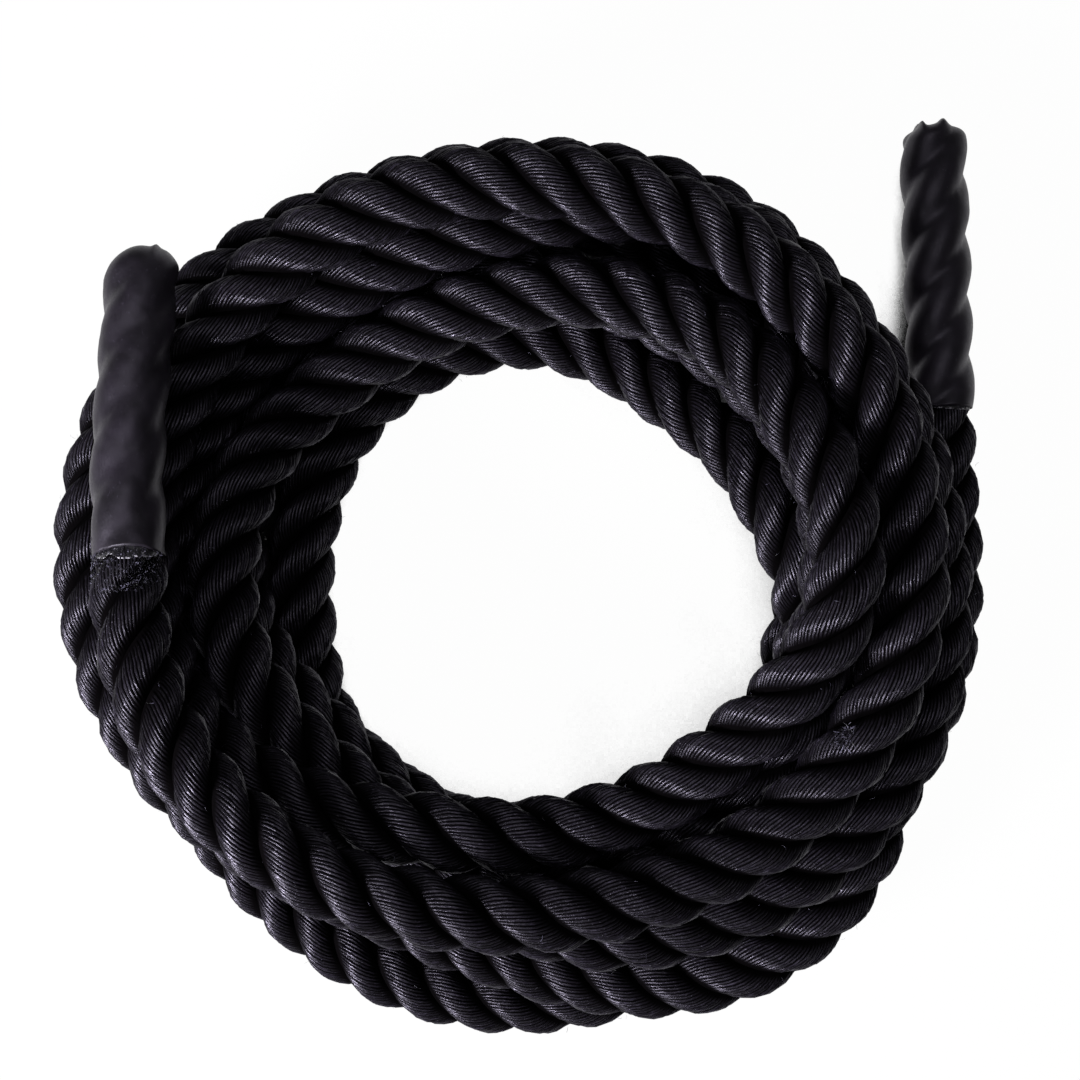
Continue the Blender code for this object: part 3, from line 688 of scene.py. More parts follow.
def sleeve_tree():
    """A tree that draws a closed cap over twisted strands, from its mouth along a line to its tip."""
    tree = bpy.data.node_groups.new("shrunk_sleeve", "GeometryNodeTree")
    tree.interface.new_socket("Start", in_out="INPUT", socket_type="NodeSocketGeometry")
    for name in ("Mouth", "Along", "Up", "Side"):
        tree.interface.new_socket(name, in_out="INPUT", socket_type="NodeSocketVector")
    for name in ("Lay Angle", "Lay Rate", "Length", "Crest", "Strand Shift", "Wall", "Dome", "Dome Power",
                 "Flare", "Lean", "End Bumps", "Corner", "Corner Angle", "Corner Drop", "Peak Rise",
                 "Peak Side", "Peak Width", "Nip Rise", "Nip Side", "Nip Width", "Ragged", "Arch", "Bow",
                 "Dents", "Seed"):
        tree.interface.new_socket(name, in_out="INPUT", socket_type="NodeSocketFloat")
    tree.interface.new_socket("Material", in_out="INPUT", socket_type="NodeSocketMaterial")
    tree.interface.new_socket("Shape", in_out="OUTPUT", socket_type="NodeSocketGeometry")
    given = add_node(tree, "NodeGroupInput")
    sheet, angle, away, inner = film_sheet(tree, FILM_COLUMNS, FILM_ROWS)

    # Rows run up the ribbed length, and the last share of them goes round the tip's shoulder to its middle.
    ribbed = add_node(tree, "ShaderNodeMath", {0: away, 1: ribbed_share}, operation="DIVIDE")
    ribbed = add_node(tree, "ShaderNodeClamp", {"Value": ribbed})
    ribbed_length = add_node(tree, "ShaderNodeMath",
                             {0: given.outputs["Length"], 1: given.outputs["Dome"]}, operation="SUBTRACT")
    up_ribs = add_node(tree, "ShaderNodeMath", {0: ribbed, 1: ribbed_length}, operation="MULTIPLY")
    round_tip = add_node(tree, "ShaderNodeMapRange",
                         {"Value": away, "From Min": ribbed_share, "From Max": 1.0,
                          "To Min": 0.0, "To Max": math.pi / 2})
    power = add_node(tree, "ShaderNodeMath", {0: 2.0, 1: given.outputs["Dome Power"]}, operation="DIVIDE")
    rise = add_node(tree, "ShaderNodeMath", {0: round_tip}, operation="SINE")
    rise = add_node(tree, "ShaderNodeMath", {0: rise, 1: power}, operation="POWER")
    shrink = add_node(tree, "ShaderNodeMath", {0: round_tip}, operation="COSINE")
    shrink = add_node(tree, "ShaderNodeMath", {0: shrink, 1: power}, operation="POWER")
    height = add_node(tree, "ShaderNodeMath",
                      {0: rise, 1: given.outputs["Dome"], 2: up_ribs}, operation="MULTIPLY_ADD")
    reach, off_crest = film_section(tree, given, angle, height)

    # Near its tip the film swells or draws in a little, and the cut ends hold it out in three low bumps. One
    # corner stands out, and the film is dented all over.
    to_tip = add_node(tree, "ShaderNodeMath", {0: given.outputs["Length"], 1: height}, operation="SUBTRACT")
    at_tip = add_node(tree, "ShaderNodeMapRange",
                      {"Value": to_tip, "From Min": FLARE_FROM, "From Max": FLARE_TO,
                       "To Min": 1.0, "To Max": 0.0},
                      interpolation_type="SMOOTHSTEP")
    reach = add_node(tree, "ShaderNodeMath",
                     {0: at_tip, 1: given.outputs["Flare"], 2: reach}, operation="MULTIPLY_ADD")
    corner_off = add_node(tree, "ShaderNodeMath",
                          {0: angle, 1: given.outputs["Corner Angle"]}, operation="SUBTRACT")
    corner_side = add_node(tree, "ShaderNodeMapRange",
                           {"Value": add_node(tree, "ShaderNodeMath", {0: corner_off}, operation="COSINE"),
                            "From Min": 0.45, "From Max": 1.0}, interpolation_type="SMOOTHSTEP")
    corner_off = add_node(tree, "ShaderNodeMath",
                          {0: to_tip, 1: given.outputs["Corner Drop"]}, operation="SUBTRACT")
    corner_near = add_node(tree, "ShaderNodeMapRange",
                           {"Value": add_node(tree, "ShaderNodeMath", {0: corner_off}, operation="ABSOLUTE"),
                            "From Min": 0.0, "From Max": CORNER_SPAN, "To Min": 1.0, "To Max": 0.0},
                           interpolation_type="SMOOTHSTEP")
    corner = add_node(tree, "ShaderNodeMath", {0: corner_side, 1: corner_near}, operation="MULTIPLY")
    reach = add_node(tree, "ShaderNodeMath",
                     {0: corner, 1: given.outputs["Corner"], 2: reach}, operation="MULTIPLY_ADD")
    for scale, share in ((1.4, 1.0), (4.5, 0.25)):
        dents = film_noise(tree, angle, height, given, scale, 1.0)
        dents = add_node(tree, "ShaderNodeMath", {0: dents, 1: 0.5}, operation="SUBTRACT")
        dents = add_node(tree, "ShaderNodeMath",
                         {0: dents, 1: given.outputs["Dents"]}, operation="MULTIPLY")
        reach = add_node(tree, "ShaderNodeMath", {0: dents, 1: share, 2: reach}, operation="MULTIPLY_ADD")
    thin = add_node(tree, "ShaderNodeMath", {0: inner, 1: given.outputs["Wall"]}, operation="MULTIPLY")
    reach = add_node(tree, "ShaderNodeMath", {0: reach, 1: thin}, operation="SUBTRACT")
    reach = add_node(tree, "ShaderNodeMath", {0: reach, 1: shrink}, operation="MULTIPLY")
    triple = add_node(tree, "ShaderNodeMath", {0: off_crest, 1: STRANDS}, operation="MULTIPLY")
    crest = add_node(tree, "ShaderNodeMath",
                     {0: add_node(tree, "ShaderNodeMath", {0: triple}, operation="COSINE"), 1: 0.5, 2: 0.5},
                     operation="MULTIPLY_ADD")
    rest = add_node(tree, "ShaderNodeMath", {0: 1.0, 1: shrink}, operation="SUBTRACT")
    mid_face = add_node(tree, "ShaderNodeMath", {0: rest, 1: shrink}, operation="MULTIPLY")
    bumps = add_node(tree, "ShaderNodeMath", {0: mid_face, 1: crest}, operation="MULTIPLY")
    bumps = add_node(tree, "ShaderNodeMath",
                     {0: bumps, 1: given.outputs["End Bumps"]}, operation="MULTIPLY")
    moved = add_node(tree, "ShaderNodeMath", {0: bumps, 1: 4.0, 2: height}, operation="MULTIPLY_ADD")
    sideways = add_node(tree, "ShaderNodeMath", {0: angle}, operation="SINE")
    lean = add_node(tree, "ShaderNodeMath", {0: sideways, 1: given.outputs["Lean"]}, operation="MULTIPLY")
    lean = add_node(tree, "ShaderNodeMath", {0: lean, 1: shrink}, operation="MULTIPLY")
    moved = add_node(tree, "ShaderNodeMath", {0: lean, 1: at_tip, 2: moved}, operation="MULTIPLY_ADD")
    over = add_node(tree, "ShaderNodeMath", {0: sideways, 1: reach}, operation="MULTIPLY")
    on_cap = add_node(tree, "ShaderNodeMapRange",
                      {"Value": round_tip, "From Min": 0.25, "From Max": 0.9},
                      interpolation_type="SMOOTHSTEP")

    # The film is drawn out at its tip to a peak and a nip beside it.
    for mark in ("Peak", "Nip"):
        beside = add_node(tree, "ShaderNodeMath",
                          {0: over, 1: given.outputs[mark + " Side"]}, operation="SUBTRACT")
        beside = add_node(tree, "ShaderNodeMath",
                          {0: beside, 1: given.outputs[mark + " Width"]}, operation="DIVIDE")
        beside = add_node(tree, "ShaderNodeMath", {0: beside, 1: beside}, operation="MULTIPLY")
        beside = add_node(tree, "ShaderNodeMath", {0: beside, 1: 1.0}, operation="ADD")
        drawn = add_node(tree, "ShaderNodeMath", {0: on_cap, 1: beside}, operation="DIVIDE")
        moved = add_node(tree, "ShaderNodeMath",
                         {0: drawn, 1: given.outputs[mark + " Rise"], 2: moved}, operation="MULTIPLY_ADD")
    inward = add_node(tree, "ShaderNodeMath", {0: thin, 1: away}, operation="MULTIPLY")
    moved = add_node(tree, "ShaderNodeMath", {0: moved, 1: inward}, operation="SUBTRACT")

    # The mouth was cut by hand, so its lip isn't straight.
    lip = film_noise(tree, angle, 0.0, given, 1.6, 3.0)
    lip = add_node(tree, "ShaderNodeMath", {0: lip, 1: 0.5}, operation="SUBTRACT")
    lip = add_node(tree, "ShaderNodeMath", {0: lip, 1: given.outputs["Ragged"]}, operation="MULTIPLY")
    arch = add_node(tree, "ShaderNodeMath", {0: sideways, 1: -1.0, 2: -0.28}, operation="MULTIPLY_ADD")
    arch = add_node(tree, "ShaderNodeMath", {0: arch, 1: sideways, 2: 0.43}, operation="MULTIPLY_ADD")
    lip = add_node(tree, "ShaderNodeMath", {0: arch, 1: given.outputs["Arch"], 2: lip},
                   operation="MULTIPLY_ADD")
    at_lip = add_node(tree, "ShaderNodeMapRange",
                      {"Value": height, "From Min": 0.0, "From Max": LIP_RUN, "To Min": 1.0, "To Max": 0.0},
                      interpolation_type="SMOOTHSTEP")
    moved = add_node(tree, "ShaderNodeMath", {0: lip, 1: at_lip, 2: moved}, operation="MULTIPLY_ADD")
    spot = film_frame(tree, given, angle, reach, moved)
    on = add_node(tree, "ShaderNodeMath", {0: height, 1: given.outputs["Length"]}, operation="DIVIDE")
    left = add_node(tree, "ShaderNodeMath", {0: 1.0, 1: on}, operation="SUBTRACT")
    bow = add_node(tree, "ShaderNodeMath", {0: on, 1: left}, operation="MULTIPLY")
    bow = add_node(tree, "ShaderNodeMath", {0: bow, 1: left}, operation="MULTIPLY")
    bow = add_node(tree, "ShaderNodeMath", {0: bow, 1: given.outputs["Bow"]}, operation="MULTIPLY")
    bow = add_node(tree, "ShaderNodeMath", {0: bow, 1: TO_BOW_PEAK}, operation="MULTIPLY")
    bowed = add_node(tree, "ShaderNodeVectorMath",
                     {0: given.outputs["Side"], "Scale": bow}, operation="SCALE")
    spot = add_node(tree, "ShaderNodeVectorMath", {0: spot, 1: bowed}, operation="ADD")
    film_finish(tree, sheet, spot, given)
    return tree


# How often the film's patterns repeat: orange peel about 1 mm wide, wrinkles 14 mm, and rub marks 2 mm.
PEEL_A_METRE = 900.0
WRINKLES_A_METRE = 70.0
RUBS_A_METRE = (700, 420, 700)


def heat_shrink_film():
    """Charcoal polyolefin, satin from the heat gun, with fine orange peel, soft wrinkles and rub marks."""
    material = bpy.data.materials.new("heat_shrink_polyolefin")
    material.use_nodes = True
    tree = material.node_tree
    shader = tree.nodes["Principled BSDF"]
    spot = add_node(tree, "ShaderNodeTexCoord").outputs["Object"]
    peel = add_node(tree, "ShaderNodeTexNoise",
                    {"Vector": spot, "Scale": PEEL_A_METRE, "Detail": 3.0, "Roughness": 0.6})
    wrinkle = add_node(tree, "ShaderNodeTexNoise",
                       {"Vector": spot, "Scale": WRINKLES_A_METRE, "Detail": 2.0, "Distortion": 0.5})
    stretched = add_node(tree, "ShaderNodeMapping", {"Vector": spot, "Scale": RUBS_A_METRE})
    rubs = add_node(tree, "ShaderNodeTexNoise", {"Vector": stretched, "Scale": 1.0, "Detail": 4.0})
    rubbed = add_node(tree, "ShaderNodeMapRange",
                      {"Value": rubs.outputs[0], "From Min": 0.64, "From Max": 0.76})
    height = add_node(tree, "ShaderNodeMath", {0: peel.outputs[0], 1: 0.12, 2: wrinkle.outputs[0]},
                      operation="MULTIPLY_ADD")
    bump = add_node(tree, "ShaderNodeBump", {"Strength": 0.35, "Distance": 0.0005, "Height": height})
    tree.links.new(bump.outputs[0], shader.inputs["Normal"])
    cloud = add_node(tree, "ShaderNodeMapRange",
                     {"Value": wrinkle.outputs[0], "From Min": 0.3, "From Max": 0.7})
    tone = add_node(tree, "ShaderNodeMix", {"Factor": cloud, "A": linear("121014"), "B": linear("231f27")},
                    data_type="RGBA")
    scuffed = add_node(tree, "ShaderNodeMix",
                       {"Factor": rubbed, "A": tone.outputs["Result"], "B": linear("302c36")},
                       data_type="RGBA")
    tree.links.new(scuffed.outputs["Result"], shader.inputs["Base Color"])
    gloss = add_node(tree, "ShaderNodeMapRange",
                     {"Value": peel.outputs[0], "From Min": 0.3, "From Max": 0.7,
                      "To Min": 0.38, "To Max": 0.55})
    tree.links.new(gloss.outputs[0], shader.inputs["Roughness"])
    shader.inputs["IOR"].default_value = 1.46
    shader.inputs["Specular Tint"].default_value = linear("efe8fb")
    return material


sleeve_black = heat_shrink_film()
capping = sleeve_tree()
no_mesh = bpy.data.meshes.new("start")
no_mesh.from_pydata([(0, 0, 0)], [], [])
top_end, floor_end = rope_line[:: len(rope_line) - 1]
top_station = rope_line[RUN_PIECES * LINE_POINTS_A_PIECE]
floor_station = rope_line[-1 - RUN_PIECES * LINE_POINTS_A_PIECE]
sleeve_places = {}
for name, tip, station, below, way_on in (
    ("top_end", top_end, top_station, TOP_RUN, -1),
    ("floor_end", floor_end, floor_station, FLOOR_RUN, 1),
):
    along = Vector(tip - station).normalized()
    side = (way_on * along).cross(Vector((0, 0, 1))).normalized()
    mouth = Vector(tip) - along * SLEEVE_LENGTH
    at_mouth = np.interp(top_mouth_length if way_on < 0 else floor_mouth_length, strand_lengths, lay_angles)
    sleeve_places[name] = {
        "Mouth": mouth,
        "Along": along,
        "Up": side.cross(way_on * along),
        "Side": side,
        "Lay Angle": float(at_mouth),
        "Lay Rate": way_on * math.tau / SLEEVED_LAY_LENGTH,
    }
film_looks = {
    "top_end": {
        "Length": SLEEVE_LENGTH, "Crest": 0.0188, "Strand Shift": 0.0042, "Dome": 0.0195, "Dome Power": 2.2,
        "Flare": 0.0002, "Lean": -0.0018, "End Bumps": 0.0004,
        "Corner": 0.0016, "Corner Angle": -math.pi / 2, "Corner Drop": 0.0115,
        "Peak Rise": 0.0020, "Peak Side": -0.0075, "Peak Width": 0.0014,
        "Nip Rise": 0.0008, "Nip Side": -0.0135, "Nip Width": 0.003,
        "Ragged": 0.0022, "Arch": 0.0030, "Bow": TOP_SLEEVE_BOW, "Dents": 0.0012, "Seed": 4.0,
    },
    "floor_end": {
        "Length": SLEEVE_LENGTH - 0.0024, "Crest": 0.0192, "Strand Shift": 0.0056, "Dome": 0.0090,
        "Dome Power": 3.6, "Flare": -0.0006, "Lean": 0.0012, "End Bumps": 0.0006,
        "Corner": 0.0002, "Corner Angle": math.pi / 2, "Corner Drop": 0.010,
        "Peak Rise": 0.0040, "Peak Side": 0.0036, "Peak Width": 0.0026,
        "Nip Rise": 0.0040, "Nip Side": -0.0080, "Nip Width": 0.0013,
        "Ragged": 0.0020, "Arch": 0.0008, "Bow": 0.0, "Dents": 0.0010, "Seed": 9.0,
    },
}
for name, place in sleeve_places.items():
    sleeve = plain_mesh(f"{name}_film", no_mesh.copy(), capping, place | film_looks[name] | {
        "Wall": SLEEVE_WALL,
        "Material": sleeve_black,
    })
    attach(sleeve, "root")
    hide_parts(f"{name}_sleeve")


# The hot-melt lining: milky glue that the heat pressed out of each mouth. It hangs on round the strands as a
# thin torn skin a few millimetres long, with whitish crumbs on its rim.
LINING_DEPTH = 0.012
LINING_THICKNESS = 0.0007
LINING_COLUMNS = 200
LINING_ROWS = 16
RIM_FROM, RIM_TO = 0.0002, 0.0013
HANG_SLOPE = -0.22
CRUMBS_A_METRE = 620.0


def lining_tree():
    """A tree for the skin of glue between the film and the strands, which runs out past the mouth."""
    tree = bpy.data.node_groups.new("glue_lining", "GeometryNodeTree")
    tree.interface.new_socket("Start", in_out="INPUT", socket_type="NodeSocketGeometry")
    for name in ("Mouth", "Along", "Up", "Side"):
        tree.interface.new_socket(name, in_out="INPUT", socket_type="NodeSocketVector")
    for name in ("Lay Angle", "Lay Rate", "Crest", "Strand Shift", "Depth", "Thickness", "Overhang",
                 "Facing", "Seed"):
        tree.interface.new_socket(name, in_out="INPUT", socket_type="NodeSocketFloat")
    tree.interface.new_socket("Material", in_out="INPUT", socket_type="NodeSocketMaterial")
    tree.interface.new_socket("Shape", in_out="OUTPUT", socket_type="NodeSocketGeometry")
    given = add_node(tree, "NodeGroupInput")
    sheet, angle, away, inner = film_sheet(tree, LINING_COLUMNS, LINING_ROWS)

    # How far it hangs out goes up and down with the angle, and most of it is on one side.
    torn = film_noise(tree, angle, 0.0, given, 2.6, 5.0)
    torn = add_node(tree, "ShaderNodeMapRange", {"Value": torn, "From Min": 0.22, "From Max": 0.52})
    off = add_node(tree, "ShaderNodeMath", {0: angle, 1: given.outputs["Facing"]}, operation="SUBTRACT")
    facing = add_node(tree, "ShaderNodeMapRange",
                      {"Value": add_node(tree, "ShaderNodeMath", {0: off}, operation="COSINE"),
                       "From Min": 0.1, "From Max": 0.92, "To Min": 0.08, "To Max": 1.0})
    hang = add_node(tree, "ShaderNodeMath", {0: torn, 1: facing}, operation="MULTIPLY")
    hang = add_node(tree, "ShaderNodeMath", {0: hang, 1: given.outputs["Overhang"]}, operation="MULTIPLY")
    whole = add_node(tree, "ShaderNodeMath", {0: hang, 1: given.outputs["Depth"]}, operation="ADD")
    height = add_node(tree, "ShaderNodeMath", {0: away, 1: whole}, operation="MULTIPLY")
    height = add_node(tree, "ShaderNodeMath", {0: height, 1: hang}, operation="SUBTRACT")
    reach, _ = film_section(tree, given, angle, height)
    from_rim = add_node(tree, "ShaderNodeMath", {0: height, 1: hang}, operation="ADD")
    rim = add_node(tree, "ShaderNodeMapRange",
                   {"Value": from_rim, "From Min": RIM_FROM, "From Max": RIM_TO,
                    "To Min": 1.0, "To Max": 0.0})
    sheet = add_node(tree, "GeometryNodeStoreNamedAttribute",
                     {"Geometry": sheet, "Name": "rim", "Value": rim}, data_type="FLOAT", domain="POINT")

    # It is thickest halfway in, lumpy, and stands off the strands where it hangs free.
    outside = add_node(tree, "ShaderNodeMath", {0: height, 1: HANG_SLOPE}, operation="MULTIPLY")
    outside = add_node(tree, "ShaderNodeMath", {0: outside, 1: 0.0}, operation="MAXIMUM")
    reach = add_node(tree, "ShaderNodeMath", {0: reach, 1: outside}, operation="ADD")
    lens = add_node(tree, "ShaderNodeMath",
                    {0: add_node(tree, "ShaderNodeMath", {0: away, 1: math.pi}, operation="MULTIPLY")},
                    operation="SINE")
    lens = add_node(tree, "ShaderNodeMath", {0: lens, 1: 0.5}, operation="POWER")
    lumps = film_noise(tree, angle, height, given, 9.0, 3.0)
    lumps = add_node(tree, "ShaderNodeMath", {0: lumps, 1: 1.4, 2: 0.3}, operation="MULTIPLY_ADD")
    thick = add_node(tree, "ShaderNodeMath",
                     {0: lens, 1: given.outputs["Thickness"]}, operation="MULTIPLY")
    thick = add_node(tree, "ShaderNodeMath", {0: thick, 1: lumps}, operation="MULTIPLY")
    share = add_node(tree, "ShaderNodeMath", {0: inner, 1: -1.0, 2: 0.5}, operation="MULTIPLY_ADD")
    reach = add_node(tree, "ShaderNodeMath", {0: thick, 1: share, 2: reach}, operation="MULTIPLY_ADD")
    film_finish(tree, sheet, film_frame(tree, given, angle, reach, height), given)
    return tree


def milky_glue():
    """Hot-melt glue: cloudy and a little clear, going to whitish crumbs at its rim and in patches."""
    material = bpy.data.materials.new("milky_hot_melt_glue")
    material.use_nodes = True
    tree = material.node_tree
    shader = tree.nodes["Principled BSDF"]
    spot = add_node(tree, "ShaderNodeTexCoord").outputs["Object"]
    crumbs = add_node(tree, "ShaderNodeTexNoise",
                      {"Vector": spot, "Scale": CRUMBS_A_METRE, "Detail": 4.0, "Roughness": 0.7})
    rim = add_node(tree, "ShaderNodeAttribute", attribute_name="rim")
    crumby = add_node(tree, "ShaderNodeMath", {0: rim.outputs["Fac"], 1: 0.17, 2: crumbs.outputs[0]},
                      operation="MULTIPLY_ADD")
    white = add_node(tree, "ShaderNodeMapRange",
                     {"Value": crumby, "From Min": 0.60, "From Max": 0.70})
    tone = add_node(tree, "ShaderNodeMix", {"Factor": white, "A": linear("1f1d23"), "B": linear("b4b1bc")},
                    data_type="RGBA")
    tree.links.new(tone.outputs["Result"], shader.inputs["Base Color"])
    clear = add_node(tree, "ShaderNodeMapRange", {"Value": white, "To Min": 0.35, "To Max": 0.0})
    tree.links.new(clear.outputs[0], shader.inputs["Transmission Weight"])
    bump = add_node(tree, "ShaderNodeBump",
                    {"Strength": 0.7, "Distance": 0.0004, "Height": crumbs.outputs[0]})
    tree.links.new(bump.outputs[0], shader.inputs["Normal"])
    gloss = add_node(tree, "ShaderNodeMapRange", {"Value": white, "To Min": 0.28, "To Max": 0.6})
    tree.links.new(gloss.outputs[0], shader.inputs["Roughness"])
    shader.inputs["IOR"].default_value = 1.48
    return material


glue = milky_glue()
pressing = lining_tree()
lining_looks = {
    "top_end": {"Overhang": 0.0052, "Facing": math.radians(6), "Seed": 2.0},
    "floor_end": {"Overhang": 0.0018, "Facing": math.radians(60), "Seed": 6.0},
}
for name, place in sleeve_places.items():
    film = film_looks[name]
    lining = plain_mesh(f"{name}_lining", no_mesh.copy(), pressing, place | lining_looks[name] | {
        "Crest": film["Crest"] - SLEEVE_WALL - LINING_THICKNESS / 2,
        "Strand Shift": film["Strand Shift"],
        "Depth": LINING_DEPTH,
        "Thickness": LINING_THICKNESS,
        "Material": glue,
    })
    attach(lining, "root")
    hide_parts(f"{name}_glue_ring")


# Loose fibres: broken ends that stand a few millimetres out of the yarns. They are short and close together
# by the upper mouth, where the heat gun singed them, and in a tuft where a yarn has been rubbed through.
LOOSE_FIBRES = 700
SINGED_FIBRES = 1500
TUFT_FIBRES = 80
FIBRE_SIDES = 3
FIBRE_BENDS = 4
FIBRE_LEAN = 1.4
ROOT_DEPTH = 0.0012
SEED_STEP = 10
PALE_MARKS_A_METRE = 500.0


def fibre_tree():
    """A tree that stands bent fibres on a line, between two lengths along it and two angles round it."""
    tree = bpy.data.node_groups.new("loose_fibres", "GeometryNodeTree")
    tree.interface.new_socket("Line", in_out="INPUT", socket_type="NodeSocketGeometry")
    tree.interface.new_socket("Fibres", in_out="INPUT", socket_type="NodeSocketInt")
    for name in ("From", "To", "Around From", "Around To", "Reach", "Shortest", "Longest", "Thickness"):
        tree.interface.new_socket(name, in_out="INPUT", socket_type="NodeSocketFloat")
    tree.interface.new_socket("Seed", in_out="INPUT", socket_type="NodeSocketInt")
    tree.interface.new_socket("Material", in_out="INPUT", socket_type="NodeSocketMaterial")
    tree.interface.new_socket("Shape", in_out="OUTPUT", socket_type="NodeSocketGeometry")
    given = add_node(tree, "NodeGroupInput")
    line = add_node(tree, "GeometryNodeMeshToCurve", {0: given.outputs["Line"]})
    roots = add_node(tree, "GeometryNodeMeshLine", {"Count": given.outputs["Fibres"]})

    # Each fibre's root is at a random length and angle, just under the yarns' crests.
    places = []
    ranges = (("From", "To"), ("Around From", "Around To"), ("Shortest", "Longest"))
    for number, (low, high) in enumerate(ranges):
        seed = add_node(tree, "ShaderNodeMath",
                        {0: given.outputs["Seed"], 1: float(number)}, operation="ADD")
        places.append(add_node(tree, "FunctionNodeRandomValue",
                               {"Min": given.outputs[low], "Max": given.outputs[high], "Seed": seed},
                               data_type="FLOAT").outputs[1])
    reading = add_node(tree, "GeometryNodeSampleCurve",
                       {"Curves": line, "Length": places[0]}, mode="LENGTH")
    side = add_node(tree, "ShaderNodeVectorMath",
                    {0: reading.outputs["Tangent"], 1: (0, 0, 1)}, operation="CROSS_PRODUCT")
    side = add_node(tree, "ShaderNodeVectorMath", {0: side}, operation="NORMALIZE")
    up = add_node(tree, "ShaderNodeVectorMath",
                  {0: side, 1: reading.outputs["Tangent"]}, operation="CROSS_PRODUCT")
    cosine = add_node(tree, "ShaderNodeMath", {0: places[1]}, operation="COSINE")
    sine = add_node(tree, "ShaderNodeMath", {0: places[1]}, operation="SINE")
    out = add_node(tree, "ShaderNodeVectorMath", {
        0: add_node(tree, "ShaderNodeVectorMath", {0: up, "Scale": cosine}, operation="SCALE"),
        1: add_node(tree, "ShaderNodeVectorMath", {0: side, "Scale": sine}, operation="SCALE"),
    }, operation="ADD")
    root = add_node(tree, "ShaderNodeVectorMath",
                    {0: out, "Scale": given.outputs["Reach"]}, operation="SCALE")
    root = add_node(tree, "ShaderNodeVectorMath",
                    {0: root, 1: reading.outputs["Position"]}, operation="ADD")
    outward = add_node(tree, "FunctionNodeAlignRotationToVector", {"Vector": out}, axis="Z")
    rooted = add_node(tree, "GeometryNodeSetPosition", {"Geometry": roots, "Position": root})

    # One fibre is one unit long, bent over, and is leaned and turned at random where it stands.
    bent = add_node(tree, "GeometryNodeCurveQuadraticBezier",
                    {"Resolution": FIBRE_BENDS, "Start": (0, 0, 0), "Middle": (0, 0, 0.6),
                     "End": (0.6, 0.1, 0.85)})
    section = add_node(tree, "GeometryNodeCurvePrimitiveCircle",
                       {"Resolution": FIBRE_SIDES, "Radius": given.outputs["Thickness"]})
    fibre = add_node(tree, "GeometryNodeCurveToMesh", {0: bent, 1: section, "Fill Caps": True})
    standing = add_node(tree, "GeometryNodeInstanceOnPoints",
                        {"Points": rooted, "Instance": fibre, "Rotation": outward, "Scale": places[2]})
    lean = add_node(tree, "FunctionNodeRandomValue",
                    {"Min": (-FIBRE_LEAN, -FIBRE_LEAN, -math.pi), "Max": (FIBRE_LEAN, FIBRE_LEAN, math.pi),
                     "Seed": given.outputs["Seed"]},
                    data_type="FLOAT_VECTOR")
    leaned = add_node(tree, "GeometryNodeRotateInstances",
                      {"Instances": standing, "Rotation": lean.outputs[0], "Local Space": True})
    single = add_node(tree, "GeometryNodeRealizeInstances", {"Geometry": leaned})
    above_floor = add_node(tree, "ShaderNodeVectorMath",
                           {0: add_node(tree, "GeometryNodeInputPosition"), 1: LOWEST_PLACE},
                           operation="MAXIMUM")
    lifted = add_node(tree, "GeometryNodeSetPosition", {"Geometry": single, "Position": above_floor})
    coloured = add_node(tree, "GeometryNodeSetMaterial",
                        {"Geometry": lifted, "Material": given.outputs["Material"]})
    add_node(tree, "NodeGroupOutput", {"Shape": coloured})
    return tree


def bare_fibre():
    """Single polyester filaments: dyed black, and whitish in places, partly where they are broken and partly
    as painted glints.
    """
    material = bpy.data.materials.new("broken_polyester_fibre")
    material.use_nodes = True
    tree = material.node_tree
    shader = tree.nodes["Principled BSDF"]
    spot = add_node(tree, "ShaderNodeTexCoord").outputs["Object"]
    frays_and_glints_noise = add_node(tree, "ShaderNodeTexNoise", {"Vector": spot, "Scale": PALE_MARKS_A_METRE, "Detail": 2.0})
    # Pale spots: whitish broken ends, and painted glints where the fibres would catch the light.
    pale_ends_and_glints = add_node(tree, "ShaderNodeMapRange",
                    {"Value": frays_and_glints_noise.outputs[0], "From Min": 0.48, "From Max": 0.64})
    tone = add_node(tree, "ShaderNodeMix", {"Factor": pale_ends_and_glints, "A": linear("060507"), "B": linear("85819a")},
                    data_type="RGBA")
    tree.links.new(tone.outputs["Result"], shader.inputs["Base Color"])
    shader.inputs["Roughness"].default_value = 0.4
    return material


fibre_colour = bare_fibre()
fraying = fibre_tree()
rope_from = float(top_mouth_length - cut_from)
rope_to = float(floor_mouth_length - cut_from)
SINGED_RUN = 0.022
singed_to = rope_from + SINGED_RUN
TUFT_PLACE = (0.637, 0.649)
loose_fibres = []

# Each kind: from where to where along the rope, between which angles, how long, and how thick for that.
for name, count, places, angles, lengths, thickness in (
    ("loose_fibres", LOOSE_FIBRES, (rope_from, rope_to), (-2.0, 2.0), (0.0018, 0.0036), 0.022),
    ("singed_fibres", SINGED_FIBRES, (rope_from, singed_to), (-1.3, 1.3), (0.0004, 0.0010), 0.13),
    ("rubbed_tuft", TUFT_FIBRES, TUFT_PLACE, (-0.70, -0.36), (0.0020, 0.0058), 0.03),
):
    fibres = plain_mesh(name, line_mesh.copy(), fraying, {
        "Fibres": count,
        "From": places[0], "To": places[1],
        "Around From": angles[0], "Around To": angles[1],
        "Reach": VISIBLE_DIAMETER / 2 - ROOT_DEPTH,
        "Shortest": lengths[0], "Longest": lengths[1],
        "Thickness": thickness,
        "Seed": len(loose_fibres) * SEED_STEP,
        "Material": fibre_colour,
    })
    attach(fibres, "root")
    loose_fibres.append(fibres)


